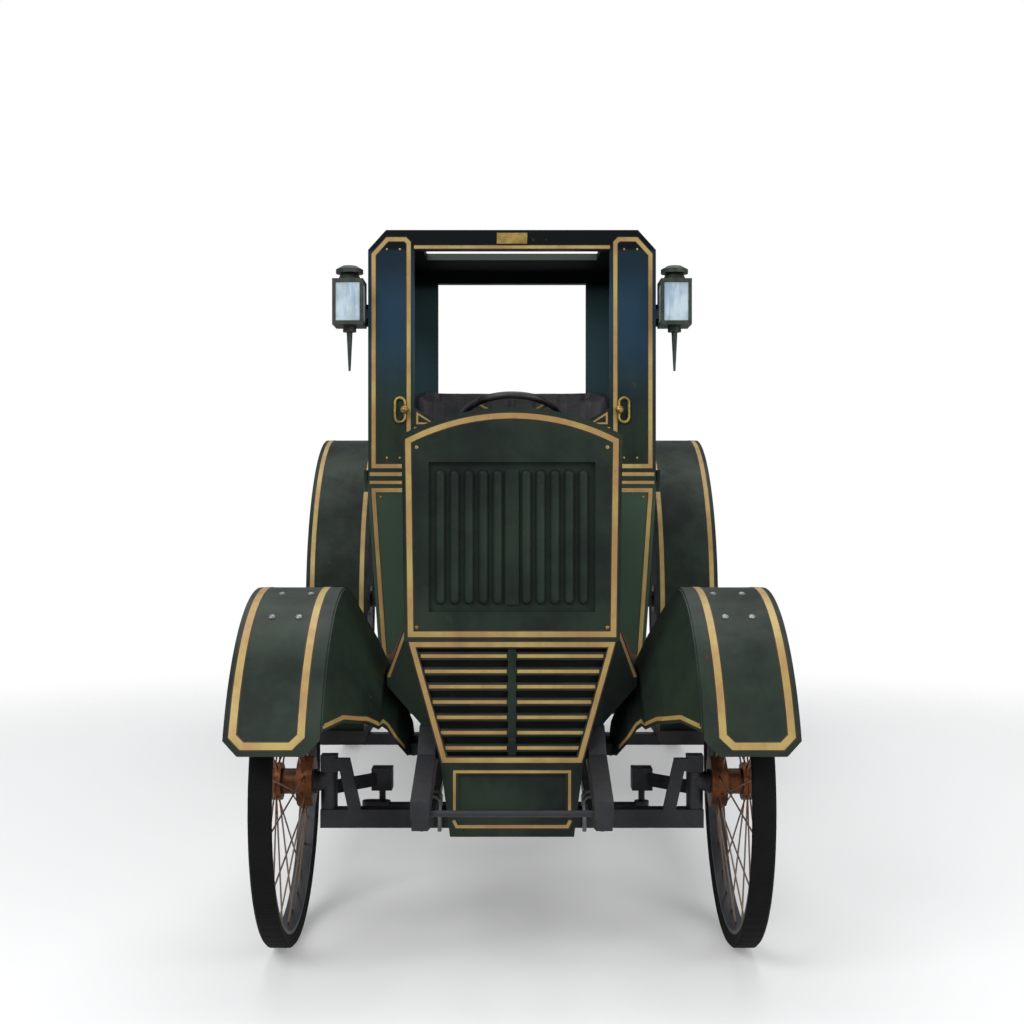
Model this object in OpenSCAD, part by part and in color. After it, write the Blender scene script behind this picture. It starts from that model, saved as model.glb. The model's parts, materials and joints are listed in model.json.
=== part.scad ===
// Vintage motor coupe: tall narrow cab, small wire front wheels and large rear wheels.
// Millimetres, +Z up. The front faces -Y and +X is the car's left side.
// Inside car() the zero of Y is the front axle.

/* [Wheels] */
// Radius of the front tyres
front_wheel_r = 380; // [372:1:386]
// Radius of the rear tyres
rear_wheel_r = 633; // [620:1:640]
// Middle of the front tyres from the centre line
front_track_half = 534; // [532:1:540]
// Room from the cab wall to the middle of a rear tyre
rear_side_room = 185; // [179:1:195]
// Distance between the axles
wheelbase = 2920; // [2900:5:3000]
// Width of the front tyres
front_tyre_w = 52; // [44:1:54]
// Width of the rear tyres
rear_tyre_w = 70; // [60:1:76]
// Spokes in each front wheel
front_spokes = 28; // [20:4:32]
// Spokes in each rear wheel
rear_spokes = 36; // [28:4:40]

/* [Chassis] */
// Inner face of each frame rail from the centre line
rail_in = 172; // [170:1:176]
// Width of a frame rail
rail_w = 40; // [34:1:42]
// Underside of the rails
rail_low = 450; // [440:1:455]
// Height of a rail
rail_h = 80; // [76:1:84]
// Top of the running boards
board_top = 430; // [425:1:440]

/* [Nose] */
// Half width of the radiator shell at its shoulders
shell_half = 248; // [240:1:254]
// Underside of the radiator shell
shell_low = 732; // [724:1:740]
// Height of the shoulders
shoulder_z = 1194; // [1180:1:1205]
// Height of the arched top
arch_z = 1256; // [1250:1:1270]
// Front face of the radiator ahead of the front axle
nose_out = 200; // [195:1:210]
// Ribs on the radiator
shell_ribs = 10; // [6:2:10]
// Slats in the lower grille
grille_slats = 7; // [5:1:8]

/* [Cab] */
// Width of the cab above the belt
cab_w = 1042; // [1030:2:1050]
// Top of the roof
roof_z = 2042; // [2020:1:2070]
// Thickness of walls and doors
wall_t = 40; // [34:1:42]
// Thickness of the roof
roof_t = 27; // [22:1:32]
// Room from the back of the cab to the rear axle
cab_to_axle = 380; // [370:1:390]
// Length of the cab
cab_len = 800; // [790:1:820]
// Half width of the windscreen opening
screen_half = 355; // [340:1:360]
// Half width of the rear window
rear_window_half = 308; // [290:1:320]
// Half width of the roof hatch
hatch_half = 336; // [310:1:340]
// Length of the roof hatch
hatch_len = 406; // [380:1:420]

/* [Mudguards] */
// Room between a front tyre and its mudguard
front_room = 75; // [72:1:80]
// Room between a rear tyre and its mudguard
rear_room = 67; // [62:1:72]
// Thickness of the mudguard sheet
sheet_t = 6; // [5:0.5:8]
// Width of a front mudguard
front_guard_w = 202; // [198:1:206]
// Width of a rear mudguard
rear_guard_w = 244; // [236:1:252]

/* [Hidden] */
$fn = 64;
// Clearances: round running fits, faces that pass each other, pieces laid in place
run_gap = 0.05;
face_gap = 0.5;
seat_gap = 0.3;

paint = "#28342E";
iron = "#2D2D30";
rubber = "#232324";
copper = "#8C501E";
hide = "#2B2B2F";
brass = "#B08D45";
pane = "#DCE8F2";
board = "#3A3A3A";

// Places along the car: cab, scuttle and engine follow the rear axle
cab_back = wheelbase - cab_to_axle;
cab_s = cab_back - cab_len;
scuttle_len = 440;
scuttle_s = cab_s - scuttle_len;
cab_half = cab_w / 2;
rear_track_half = cab_half + rear_side_room;

// Axle heights, rails and mudguard arcs
front_z = front_wheel_r;
rear_z = rear_wheel_r;
rail_out = rail_in + rail_w;
rail_top = rail_low + rail_h;
tail_s = wheelbase + 530;
guard_r = front_z + front_room;
rear_guard_r = rear_z + rear_room;
guard_in = front_track_half - front_guard_w / 2 - 33;
guard_out = guard_in + front_guard_w;
rear_guard_in = rear_track_half - rear_guard_w / 2 - 12;
rear_guard_out = rear_guard_in + rear_guard_w;
// Degrees by which the free end of a mudguard stays above the axle
guard_rise = 17;
front_reach = (guard_r + sheet_t) * cos(guard_rise);
rear_reach = wheelbase + (rear_guard_r + sheet_t) * cos(guard_rise);
front_axle_y = (front_reach - rear_reach) / 2;

// Front axle, kingpins and steering arms
axle_low = front_z - 107;
axle_top = front_z - 64;
axle_d = 44;
pin_x = front_track_half - 99;
pin_r = 12;
boss_half = 19;
boss_low = front_z + 24;
boss_top = front_z + 64;
arm_x = pin_x - 115;
arm_s = 125;
arm_low = front_z - 43;
arm_h = 54;
rod_z = front_z - 85;
rod_r = 10;
ball_r = 8;
eye_r = 18;
slot_run = 30;
spindle_r = 14;
rear_spindle_r = 22;

// Dumb irons, bars, springs and drive line
iron_tip = 430;
iron_root = 130;
tip_z = front_z + 2;
weld = 5;
bar_top = rail_low + 10;
cross_bars = [320, scuttle_s - 300, cab_s - 90, cab_s + 610];
outrigger_s = [600, cab_s - 540, cab_s - 40, cab_s + 440];
board_low = board_top - 30;
leaf_t = 24;
spring_half = 330;
pad_low = rear_z - 45;
shaft_z = rail_low + 40;
engine_s = 250;
engine_back = scuttle_s - 150;
engine_half = 150;
engine_top = rail_top + 470;
gearbox_len = 330;
gearbox_half = 90;
shaft_r = 25;
worm_half = 120;
rear_hub_in = rear_track_half - 51;
spreader_r = 7;
tow_half = 60;
tow_t = 16;
tow_r = 10;
carrier_x = 300;
carrier_z = 40;
carrier_r = 5.5;

// Nose, bonnet and scuttle
nose_lean = 0.013;
recess = 12;
rib_r = 11.5;
rib_in = 16;
band_half = 15;
band_d = 5;
grille_edge = 16;
slat_h = 18;
sill_x = 290;
end_t = 6;
scuttle_t = 15;
bonnet_hinges = 4;
bonnet_hinge_in = 120;
shell_d = 110;
shell_back = shell_d - nose_out;
rise = arch_z - shoulder_z;
arch_r = (shell_half * shell_half + rise * rise) / (2 * rise);
bonnet_low = shell_low + 28;
bonnet_t = 10;
sill_top = bonnet_low - face_gap;
end_gap = 5;
hinge_z = arch_z - 2;
hinge_rod_r = 4;
hinge_barrel_r = 8;
bonnet_knuckle = 60;
bonnet_pitch = (scuttle_s - shell_back - bonnet_hinge_in - 70) / bonnet_hinges;
panel_half = shell_half - 61;
panel_low = shell_low + 65;
panel_top = shoulder_z - 61;
rib_len = panel_top - panel_low - 2 * (rib_in + rib_r);
grille_low = rail_low + 7;
slat_pitch = (shell_low - grille_low) / (grille_slats + 1);
grille_half_low = 160;
grille_half_top = 232;
grille_d = 25;
sump_low = grille_low - 164;
sump_half_low = 139;
sump_d = 100;

// Cab outline: walls lean in below the belt and the roof edges are bevelled
belt_z = 1085;
skirt_z = 485;
lean = 41;
bevel_x = 65;
bevel_z = 72;
eave_z = roof_z - roof_t;
eave_half = cab_half - bevel_x * (bevel_z - roof_t) / bevel_z;
floor_t = 30;
floor_top = rail_top + floor_t;
screen_low = 1354;
screen_corner_x = 80;
screen_corner_z = 46;
header_z = eave_z - 44;
rear_window_low = 1480;
hatch_s = cab_s + 60;

// Doors
door_s = cab_s + 80;
door_len = cab_len - 200;
door_low = floor_top;
door_top = roof_z - 142;
door_gap = 8;
door_sweep = rear_guard_r + sheet_t + 64;
door_window_low = 1250;
door_frame = 50;
hinge_x = cab_half + 14;
hinge_s = door_s - 4;
hinge_r = 10;
hinge_pin_r = 5;
hinge_h = 40;
hinge_heights = [belt_z + 10, roof_z - 340];

// Mudguard edges, valances and stays
lip_z = front_z + guard_r * sin(guard_rise);
lip_cut = 33;
// Valance: profile from the frame to the mudguard as [radius, X], and its lower edges as [X, Z]
valance = [[40, rail_out + 18], [146, rail_out + 28], [200, sill_x - 26], [232, sill_x + 4],
  [279, sill_x + 6], [348, guard_in - 70], [guard_r + 3, guard_in - 4]];
valance_front = [[guard_in + 2, rail_low + 110], [guard_in - 39, rail_low + 121], [guard_in - 82, rail_low + 106],
  [sill_x - 7, rail_low + 77], [rail_out + 24, rail_low + 5], [rail_out, rail_low - 30]];
valance_rear = [[rail_out + 56, rail_low + 50], [rail_out + 31, rail_low - 10]];
stay_s = wheelbase - sqrt(pow(rear_guard_r, 2) - pow(belt_z + 15 - rear_z, 2));
board_end = wheelbase - sqrt(pow(rear_guard_r, 2) - pow(rear_z - board_top, 2)) + 8;

// Lamps, latches and wheel hubs
lamp_out = 9;
lamp_ahead = 90;
lamp_w = 110;
lamp_d = 130;
lamp_h = 164;
lamp_z = roof_z - 353;
lamp_plate = 14;
lamp_post = 12;
lamp_stem = 160;
latch_z = screen_low + 36;
latch_in = 32;
knob_r = 15;
link_r = 18;
link_half = 26;
link_bar = 5;
front_tyre_t = 30;
rear_tyre_t = 38;
rim_t = 8;
spoke_turn = 40;
hub_in = front_track_half - 64;
front_hub = [[-64, -27, 59], [-27, 12, 30], [12, 38, 44], [38, 50, 30]];
rear_hub = [[-51, -37, 75], [-37, 37, 48], [37, 51, 75], [51, 66, 45]];

// Seat, steering and luggage boot
seat_half = cab_half - wall_t - 81;
seat_s = cab_back - 540;
seat_box_top = 880;
cushion_t = 120;
back_top = 1515;
back_t = 90;
wheel_s = cab_s + 260;
wheel_z = 1360;
wheel_tilt = 28;
wheel_r = 195;
wheel_rim_r = 14;
column_r = 20;
column_pin_r = 12;
boot_half = cab_half - 21;
boot_low = 780;
boot_top = 1150;
boot_back = tail_s - 30;
boot_t = 25;
lid_t = 22;
lid_s = cab_back + 66;
lid_hinge_r = 8;
lid_hinge_z = boot_top + lid_t + lid_hinge_r;
lid_pin_r = 4;
lid_barrel = 20;
lid_hinges = [-0.64 * boot_half, 0.56 * boot_half];
boot_stay_s = wheelbase + sqrt(pow(rear_guard_r, 2) - pow(boot_top - 28 - rear_z, 2));
seat_back_s = cab_back - wall_t - 10;
column_len = 575;

// Half width of the cab at a height
function cab_x(z) = cab_half - max(0, belt_z - z) * lean / (belt_z - skirt_z);
// A half outline joined to its own mirror image
function both_sides(p) = concat(p, [for (i = [len(p) - 1:-1:0]) [-p[i][0], p[i][1]]]);
// The right edge of the cab walls, from the skirt to the eaves
wall_edge = [[cab_x(skirt_z), skirt_z], [cab_half, belt_z], [cab_half, roof_z - bevel_z],
  [eave_half, eave_z]];

module car() translate([0, front_axle_y, 0]) children();

module pair() {
  children();
  mirror([1, 0, 0]) children();
}

// One side only: 1 is the left, -1 the right
module on(side) {
  if (side > 0) children();
  else mirror([1, 0, 0]) children();
}

// A drawing in X and Z, drawn out from one station to another
module along(s0, s1) translate([0, s1, 0]) rotate([90, 0, 0]) linear_extrude(s1 - s0) children();

// A drawing in station and Z, drawn out from one X to another
module across(x0, x1) translate([x0, 0, 0]) rotate([90, 0, 90]) linear_extrude(x1 - x0) children();

// A box by its low corner and its high corner
module box(a, b) translate(a) cube(b - a);

// A round bar between two points
module bar(a, b, r) {
  v = b - a;
  translate(a) rotate([0, acos(v[2] / norm(v)), atan2(v[1], v[0])]) cylinder(h = norm(v), r = r);
}

// A round bar along X
module axle_bar(x0, x1, r) translate([x0, 0, 0]) rotate([0, 90, 0]) cylinder(h = x1 - x0, r = r);

// Ring about the X axis from a drawing in radius and X, between two angles from straight down
module swept(from, to) rotate([0, 90, 0]) rotate([0, 0, from])
  rotate_extrude(angle = to - from, $fn = 128) children();

// Outline of the radiator, bonnet and scuttle: nearly upright sides under an arched top
function nose_x(z) = shell_half - (shoulder_z - z) * nose_lean;
module nose(low, inset) intersection() {
  polygon(both_sides([[nose_x(low) - inset, low], [shell_half - inset, shoulder_z],
    [shell_half - inset, arch_z]]));
  translate([0, arch_z - arch_r]) circle(r = arch_r - inset, $fn = 128);
}

module frame() color(iron) car() pair() across(rail_in, rail_out) polygon([[-iron_tip, tip_z],
  [30 - iron_tip, tip_z], [-nose_out, rail_low - 30], [-60, rail_low], [tail_s, rail_low],
  [tail_s, rail_top], [-iron_root, rail_top], [-nose_out, rail_top - 52], [-iron_tip, tip_z + 36]]);

module cross_members() color(iron) car() {
  // Spreader bar between the dumb irons
  translate([0, 20 - iron_tip, tip_z + 8]) axle_bar(-rail_in, rail_in, spreader_r);
  box([-rail_in, -100, rail_low], [rail_in, -60, rail_top]);
  for (s = cross_bars) box([-rail_in, s - 25, rail_low - 25], [rail_in, s + 25, bar_top]);
  // Tail bar with the towing eye and the holes for a carrier
  difference() {
    union() {
      box([-rail_in, tail_s - 40, rail_low], [rail_in, tail_s, rail_top]);
      box([-tow_half, tail_s - weld, rail_low], [tow_half, tail_s + 80, rail_low + tow_t]);
    }
    translate([0, tail_s + 50, rail_low - 1]) cylinder(h = tow_t + 2, r = tow_r);
    for (x = [-1, 1], z = [-1, 1])
      translate([x * carrier_x / 2, tail_s + 1, rail_low + rail_h / 2 + z * carrier_z / 2])
        rotate([90, 0, 0]) cylinder(h = 60, r = carrier_r);
  }
}

// Brackets that carry the running boards
module outriggers() color(iron) car() for (s = outrigger_s) pair() {
  box([rail_out, s - 20, board_low - 30], [rail_out + 28, s + 20, rail_top - 10]);
  box([rail_out, s - 20, board_low - 30], [guard_out - 14, s + 20, board_low]);
}

module front_springs() color(iron) car() pair() {
  across(rail_in + 3, rail_out - 3) polygon([[-iron_tip, tip_z - leaf_t], [-200, axle_top + 6],
    [-40, axle_top], [40, axle_top], [200, axle_top + 6], [iron_tip, tip_z - leaf_t],
    [iron_tip, tip_z], [iron_tip - 40, tip_z], [200, axle_top + leaf_t + 6],
    [40, axle_top + leaf_t], [-40, axle_top + leaf_t], [-200, axle_top + leaf_t + 6],
    [40 - iron_tip, tip_z], [-iron_tip, tip_z]]);
  box([rail_in + 8, iron_tip - 32, tip_z - 2], [rail_out - 8, iron_tip - 2, rail_low]);
}

module rear_springs() color(iron) car() translate([0, wheelbase, 0]) pair() {
  across(rail_in + 3, rail_out - 3) polygon([[-spring_half, rail_top + 15],
    [-40, pad_low - leaf_t], [40, pad_low - leaf_t], [spring_half, rail_top + 15],
    [spring_half, rail_top + 15 + leaf_t], [40, pad_low], [-40, pad_low],
    [-spring_half, rail_top + 15 + leaf_t]]);
  for (s = [-spring_half, spring_half - 30])
    box([rail_in + 6, s, rail_top], [rail_out - 6, s + 30, rail_top + 22]);
}

module front_axle() color(iron) car() {
  along(-axle_d / 2, axle_d / 2) polygon(both_sides([[pin_x + boss_half, axle_low],
    [pin_x + boss_half, axle_top], [rail_in - 12, axle_top], [rail_in - 52, axle_top - 14]]));
  pair() {
    box([pin_x - boss_half, -boss_half, boss_low], [pin_x + boss_half, boss_half, boss_top]);
    // Strut that holds the upper boss
    along(-axle_d / 2, -4) polygon([[pin_x - 78, axle_top - 5], [pin_x - 48, axle_top - 5],
      [pin_x - boss_half - 8, boss_low + 3], [pin_x - boss_half + weld, boss_low + 3],
      [pin_x - boss_half + weld, boss_top - 7], [pin_x - 50, boss_top - 7]]);
    translate([pin_x, 0, axle_top - 20]) cylinder(h = boss_low - axle_top + 40, r = pin_r);
  }
}

module rear_axle() color(iron) car() translate([0, wheelbase, rear_z]) {
  axle_bar(-rear_hub_in + 10, rear_hub_in - 10, 35);
  sphere(r = 110);
  // Housing of the worm below the axle
  translate([0, worm_half, shaft_z - rear_z]) rotate([90, 0, 0]) cylinder(h = 2 * worm_half, r = 48);
  pair() {
    axle_bar(rear_hub_in - 26, rear_hub_in - face_gap, 60);
    axle_bar(rear_hub_in - 30, rear_track_half + 44, rear_spindle_r);
    box([rail_in - 5, -40, pad_low - rear_z], [rail_out + 5, 40, 0]);
  }
}

module engine() color(iron) car() box([-engine_half, engine_s, bar_top],
  [engine_half, engine_back, engine_top]);

module driveline() color(iron) car() {
  box([-gearbox_half, engine_back, shaft_z - gearbox_half],
    [gearbox_half, engine_back + gearbox_len, shaft_z + 35]);
  translate([0, wheelbase - worm_half, shaft_z]) rotate([90, 0, 0])
    cylinder(h = wheelbase - worm_half - engine_back - gearbox_len, r = shaft_r);
}

module radiator() color(paint) car() {
  difference() {
    along(-nose_out, shell_back) nose(shell_low, 0);
    box([-panel_half, -nose_out - 1, panel_low], [panel_half, recess - nose_out, panel_top]);
  }
  for (k = [1:shell_ribs / 2]) pair()
    translate([k * panel_half / (shell_ribs / 2 + 0.8), recess - nose_out, panel_low + rib_in + rib_r]) {
      cylinder(h = rib_len, r = rib_r);
      for (z = [0, rib_len]) translate([0, 0, z]) sphere(r = rib_r);
    }
  box([-band_half, recess - band_d - nose_out, panel_low + rib_in],
    [band_half, recess + 1 - nose_out, panel_top - rib_in]);
  pair() box([rail_in + 4, -iron_root, rail_top], [rail_out - 4, shell_back - 2, shell_low + weld]);
  // Eye that carries the bonnet's hinge rod
  box([-7, shell_back - 20, arch_z - 30], [7, shell_back, hinge_z + 6]);
}

module grille_shape(inset) polygon(both_sides([[grille_half_low - inset, grille_low + inset],
  [grille_half_top - inset, shell_low - inset]]));

module lower_grille() color(paint) car() {
  along(-nose_out, grille_d - nose_out) difference() {
    grille_shape(0);
    grille_shape(grille_edge);
  }
  along(6 - nose_out, grille_d - 6 - nose_out) intersection() {
    grille_shape(grille_edge / 2);
    union() {
      translate([-9, grille_low]) square([18, shell_low - grille_low]);
      for (k = [1:grille_slats])
        translate([-grille_half_top, grille_low + k * slat_pitch - slat_h / 2])
          square([2 * grille_half_top, slat_h]);
    }
  }
}

module sump_tray() color(paint) car() difference() {
  along(-nose_out, sump_d - nose_out) polygon(both_sides([[sump_half_low, sump_low],
    [grille_half_low, grille_low]]));
  box([20 - sump_half_low, -nose_out - 1, sump_low + 55],
    [sump_half_low - 20, 6 - nose_out, grille_low - 24]);
}

// Bent sheet between rail and bonnet, closed at its front end
sill_edge = [[rail_out, rail_top], [sill_x, rail_top + 88], [sill_x, rail_top + 110],
  [nose_x(bonnet_low), sill_top]];
module bonnet_sills() color(paint) car() pair() {
  along(shell_back, scuttle_s) polygon(concat([[rail_out - 22, rail_top]], sill_edge,
    [[nose_x(bonnet_low) - 12, sill_top], [sill_x - 12, rail_top + 109], [sill_x - 12, rail_top + 93],
    [rail_out - 7, rail_top + 12], [rail_out - 22, rail_top + 12]]));
  along(shell_back, shell_back + end_t) polygon(concat(sill_edge, [[nose_x(bonnet_low) - 42, sill_top],
    [rail_out - 22, rail_top]]));
}

module scuttle() color(paint) car() {
  along(scuttle_s, cab_s) difference() {
    nose(rail_top, 0);
    nose(rail_top - 1, scuttle_t);
  }
  along(scuttle_s, scuttle_s + scuttle_t) nose(rail_top, scuttle_t / 2);
  box([-7, scuttle_s, arch_z - 30], [7, scuttle_s + 20, hinge_z + 6]);
  // Rod on which both bonnet halves turn
  translate([0, scuttle_s + 5, hinge_z]) rotate([90, 0, 0])
    cylinder(h = scuttle_s + 5 - shell_back - seat_gap, r = hinge_rod_r);
}

module bonnet(side) difference() {
  union() {
    difference() {
      along(shell_back + end_gap, scuttle_s - end_gap) on(side) intersection() {
        difference() {
          nose(bonnet_low, 0);
          nose(bonnet_low - 1, bonnet_t);
        }
        translate([1, bonnet_low]) square([shell_half, arch_z]);
      }
      translate([0, scuttle_s, hinge_z]) rotate([90, 0, 0])
        cylinder(h = scuttle_s - shell_back, r = hinge_barrel_r + 1);
    }
    for (k = [0:bonnet_hinges - 1]) translate([0, bonnet_hinge_s(k, side), hinge_z]) {
      rotate([-90, 0, 0]) cylinder(h = bonnet_knuckle, r = hinge_barrel_r);
      on(side) box([0, 0, -hinge_barrel_r], [hinge_barrel_r + 6, bonnet_knuckle, -2]);
    }
  }
  translate([0, scuttle_s, hinge_z]) rotate([90, 0, 0])
    cylinder(h = scuttle_s - shell_back, r = hinge_rod_r + run_gap);
}
// Knuckles of the two halves take turns along the rod
function bonnet_hinge_s(k, side) = shell_back + bonnet_hinge_in + k * bonnet_pitch
  + (side > 0 ? 0 : bonnet_knuckle + 1);

module bonnet_left() color(paint) car() bonnet(1);
module bonnet_right() color(paint) car() bonnet(-1);

// Room for the rails under an end wall of the cab
module rail_notch() translate([-rail_out - 10, skirt_z - 1])
  square([2 * rail_out + 20, rail_top - skirt_z + 1]);

// Line of the steering column, with the wheel's middle at zero
module on_column() translate([0, wheel_s, wheel_z]) rotate([-wheel_tilt, 0, 0]) children();

module cab_front() color(paint) car() difference() {
  along(cab_s, cab_s + wall_t) difference() {
    polygon(both_sides(wall_edge));
    polygon(both_sides([[screen_half - screen_corner_x, screen_low],
      [screen_half, screen_low + screen_corner_z], [screen_half, header_z]]));
    rail_notch();
  }
  on_column() translate([0, 0, -column_len - 60]) cylinder(h = column_len, r = column_r + 6);
}

module cab_rear() color(paint) car() along(cab_back - wall_t, cab_back) difference() {
  polygon(both_sides(wall_edge));
  translate([-rear_window_half, rear_window_low])
    square([2 * rear_window_half, header_z - rear_window_low]);
  rail_notch();
}

module wall_section() polygon(concat(wall_edge, [for (i = [3:-1:0]) wall_edge[i] - [wall_t, 0]]));

// A door as it is seen from the side, cut away over the rear wheel
module door_shape(room) difference() {
  translate([door_s - room, door_low - room])
    square([door_len + 2 * room, door_top - door_low + 2 * room]);
  translate([wheelbase, rear_z]) circle(r = door_sweep - room, $fn = 128);
}

module cab_side(side) on(side) {
  difference() {
    along(cab_s + wall_t, cab_back - wall_t) wall_section();
    across(cab_half - 4 * wall_t, cab_half + 10) door_shape(door_gap);
  }
  for (z = hinge_heights) translate([hinge_x, hinge_s, z]) {
    cylinder(h = hinge_h, r = hinge_r);
    cylinder(h = 2 * hinge_h, r = hinge_pin_r);
    box([cab_half - hinge_x - 2, -24, 0], [0, 0, hinge_h]);
  }
}

module door(side) on(side) difference() {
  union() {
    difference() {
      intersection() {
        along(cab_s, cab_back) wall_section();
        across(cab_half - 4 * wall_t, cab_half + 10) door_shape(0);
      }
      box([cab_half - 2 * wall_t, door_s + door_frame, door_window_low],
        [cab_half + 1, door_s + door_len - door_frame, door_top - door_frame]);
    }
    for (z = hinge_heights) translate([hinge_x, hinge_s, z + hinge_h + face_gap]) {
      cylinder(h = hinge_h - face_gap, r = hinge_r);
      box([cab_half - hinge_x - 2, 0, 0], [0, 28, hinge_h - face_gap]);
    }
  }
  for (z = hinge_heights) translate([hinge_x, hinge_s, z])
    cylinder(h = 3 * hinge_h, r = hinge_pin_r + run_gap);
}

module cab_side_left() color(paint) car() cab_side(1);
module cab_side_right() color(paint) car() cab_side(-1);
module door_left() color(paint) car() door(1);
module door_right() color(paint) car() door(-1);

module cab_roof() color(paint) car() difference() {
  along(cab_s, cab_back) polygon(both_sides([[eave_half, eave_z], [cab_half - bevel_x, roof_z]]));
  box([-hatch_half, hatch_s, eave_z - 1], [hatch_half, hatch_s + hatch_len, roof_z + 1]);
}

module cab_floor() color(iron) car() {
  along(cab_s + wall_t, cab_back - wall_t) polygon(both_sides([
    [cab_x(rail_top) - wall_t, rail_top], [cab_x(floor_top) - wall_t, floor_top]]));
  // Box under the seat
  box([-seat_half, seat_s + 40, floor_top - 1], [seat_half, seat_back_s, seat_box_top]);
}

module seat_cushion() color(hide) car() box([-seat_half, seat_s, seat_box_top + seat_gap],
  [seat_half, seat_back_s - back_t - 16, seat_box_top + cushion_t]);

module seat_back() color(hide) car() across(-seat_half, seat_half) polygon([
  [seat_back_s - back_t - 15, seat_box_top + seat_gap], [seat_back_s - seat_gap, seat_box_top + seat_gap],
  [seat_back_s - seat_gap, back_top], [seat_back_s - back_t, back_top]]);

module boot_shape(t) polygon([[cab_back + t, boot_low + t], [boot_back - 80 - t / 2, boot_low + t],
  [boot_back - t, boot_low + 120 + t / 2], [boot_back - t, boot_top + 2 * t], [cab_back + t, boot_top + 2 * t]]);

module boot() color(paint) car() {
  difference() {
    across(-boot_half, boot_half) boot_shape(0);
    across(boot_t - boot_half, boot_half - boot_t) boot_shape(boot_t);
  }
  box([-boot_half, cab_back, boot_top - boot_t], [boot_half, lid_s - 6, boot_top + lid_t]);
  pair() for (s = [cab_back + 2, wheelbase + spring_half + 20])
    box([rail_in + 4, s, rail_top], [rail_out - 4, s + 30, boot_low + weld]);
  for (x = lid_hinges) translate([x, lid_s - 3, lid_hinge_z]) {
    axle_bar(0, lid_barrel, lid_hinge_r);
    axle_bar(0, 2 * lid_barrel, lid_pin_r);
    box([0, -14, -lid_hinge_r - 2], [lid_barrel, 0, 0]);
  }
}

module boot_lid() color(paint) car() difference() {
  union() {
    box([-boot_half - 4, lid_s, boot_top + seat_gap], [boot_half + 4, boot_back + 8, boot_top + lid_t]);
    for (x = lid_hinges) translate([x + lid_barrel + face_gap, lid_s - 3, lid_hinge_z]) {
      axle_bar(0, lid_barrel - face_gap, lid_hinge_r);
      box([0, 0, -lid_hinge_r - 2], [lid_barrel - face_gap, 17, 0]);
    }
  }
  for (x = lid_hinges) translate([x, lid_s - 3, lid_hinge_z])
    axle_bar(0, 3 * lid_barrel, lid_pin_r + run_gap);
}

module front_fender(side) on(side) {
  difference() {
    translate([0, 0, front_z]) swept(90, 270 - guard_rise)
      translate([guard_r, guard_in]) square([sheet_t, front_guard_w]);
    box([guard_in - 1, 0, 0], [guard_out + 1, 2 * guard_r, board_top]);
    // Cut corners of the leading edge
    along(-2 * guard_r, 0) for (edge = [[guard_in, 1], [guard_out, -1]]) polygon([
      [edge[0] - edge[1], lip_z - 10], [edge[0] + edge[1] * (lip_cut + 10), lip_z - 10],
      [edge[0] - edge[1], lip_z + lip_cut]]);
  }
  // Valance that closes the mudguard towards the frame
  difference() {
    translate([0, 0, front_z]) swept(90, 270) polygon(concat(valance,
      [for (i = [len(valance) - 1:-1:0]) valance[i] + [0, sheet_t]]));
    along(-2 * guard_r, 0) polygon(concat([[0, 0], [guard_out, 0], [guard_out, valance_front[0][1]]],
      valance_front, [[0, rail_low - 30]]));
    along(-1, 2 * guard_r) polygon(concat([[0, 0], [guard_out, 0], [guard_out, valance_rear[0][1]]],
      valance_rear, [[0, rail_low - 10]]));
  }
  box([rail_out, -60, rail_low + 2], [rail_out + 32, 60, rail_low + 28]);
}

module rear_fender(side) on(side) {
  difference() {
    translate([0, wheelbase, rear_z]) swept(90 + guard_rise, 300)
      translate([rear_guard_r, rear_guard_in]) square([sheet_t, rear_guard_w]);
    box([rear_guard_in - 1, 0, 0], [rear_guard_out + 1, wheelbase, board_top]);
  }
  // Stays to the cab and to the boot
  intersection() {
    translate([0, wheelbase, rear_z]) axle_bar(0, rear_guard_out, rear_guard_r + sheet_t / 2);
    union() {
      box([cab_half, stay_s - 15, belt_z + 5], [rear_guard_in + 6, stay_s + 15, belt_z + 25]);
      box([boot_half, boot_stay_s - 60, boot_top - 50], [rear_guard_in + 6, boot_stay_s, boot_top - 6]);
    }
  }
}

module front_fender_left() color(paint) car() front_fender(1);
module front_fender_right() color(paint) car() front_fender(-1);
module rear_fender_left() color(paint) car() rear_fender(1);
module rear_fender_right() color(paint) car() rear_fender(-1);

module running_boards() color(board) car() pair() translate([0, 0, board_low])
  linear_extrude(board_top - board_low) polygon([[guard_in, guard_r - 15], [guard_out + 2, guard_r - 15],
    [guard_out + 2, cab_s - 240], [rear_guard_out, board_end], [rear_guard_in - 32, board_end],
    [guard_in, cab_s - 240]]);

// Box coach lamp on a corner of the cab, its low outer corner at zero
module at_lamp() pair() translate([cab_half + lamp_out, cab_s - lamp_ahead, lamp_z]) children();

module lamps() color(iron) car() at_lamp() {
  box([0, 0, 0], [lamp_w, lamp_d, lamp_plate]);
  box([0, 0, lamp_h - lamp_plate], [lamp_w, lamp_d, lamp_h]);
  for (x = [0, lamp_w - lamp_post], s = [0, lamp_d - lamp_post])
    translate([x, s, 0]) cube([lamp_post, lamp_post, lamp_h]);
  translate([lamp_w / 2, lamp_d / 2, 0]) {
    translate([0, 0, lamp_h]) cylinder(h = 27, r1 = 44, r2 = 30);
    translate([0, 0, lamp_h + 26]) cylinder(h = 14, r = 49);
    translate([0, 0, lamp_h + 40]) cylinder(h = 13, r1 = 49, r2 = 26);
    translate([0, 0, -20]) cylinder(h = 21, r = 24);
    translate([0, 0, -lamp_stem]) cylinder(h = lamp_stem, r1 = 4, r2 = 12);
  }
  box([-lamp_out, lamp_ahead + 5, 32], [2, lamp_ahead + 35, 66]);
}

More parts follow.
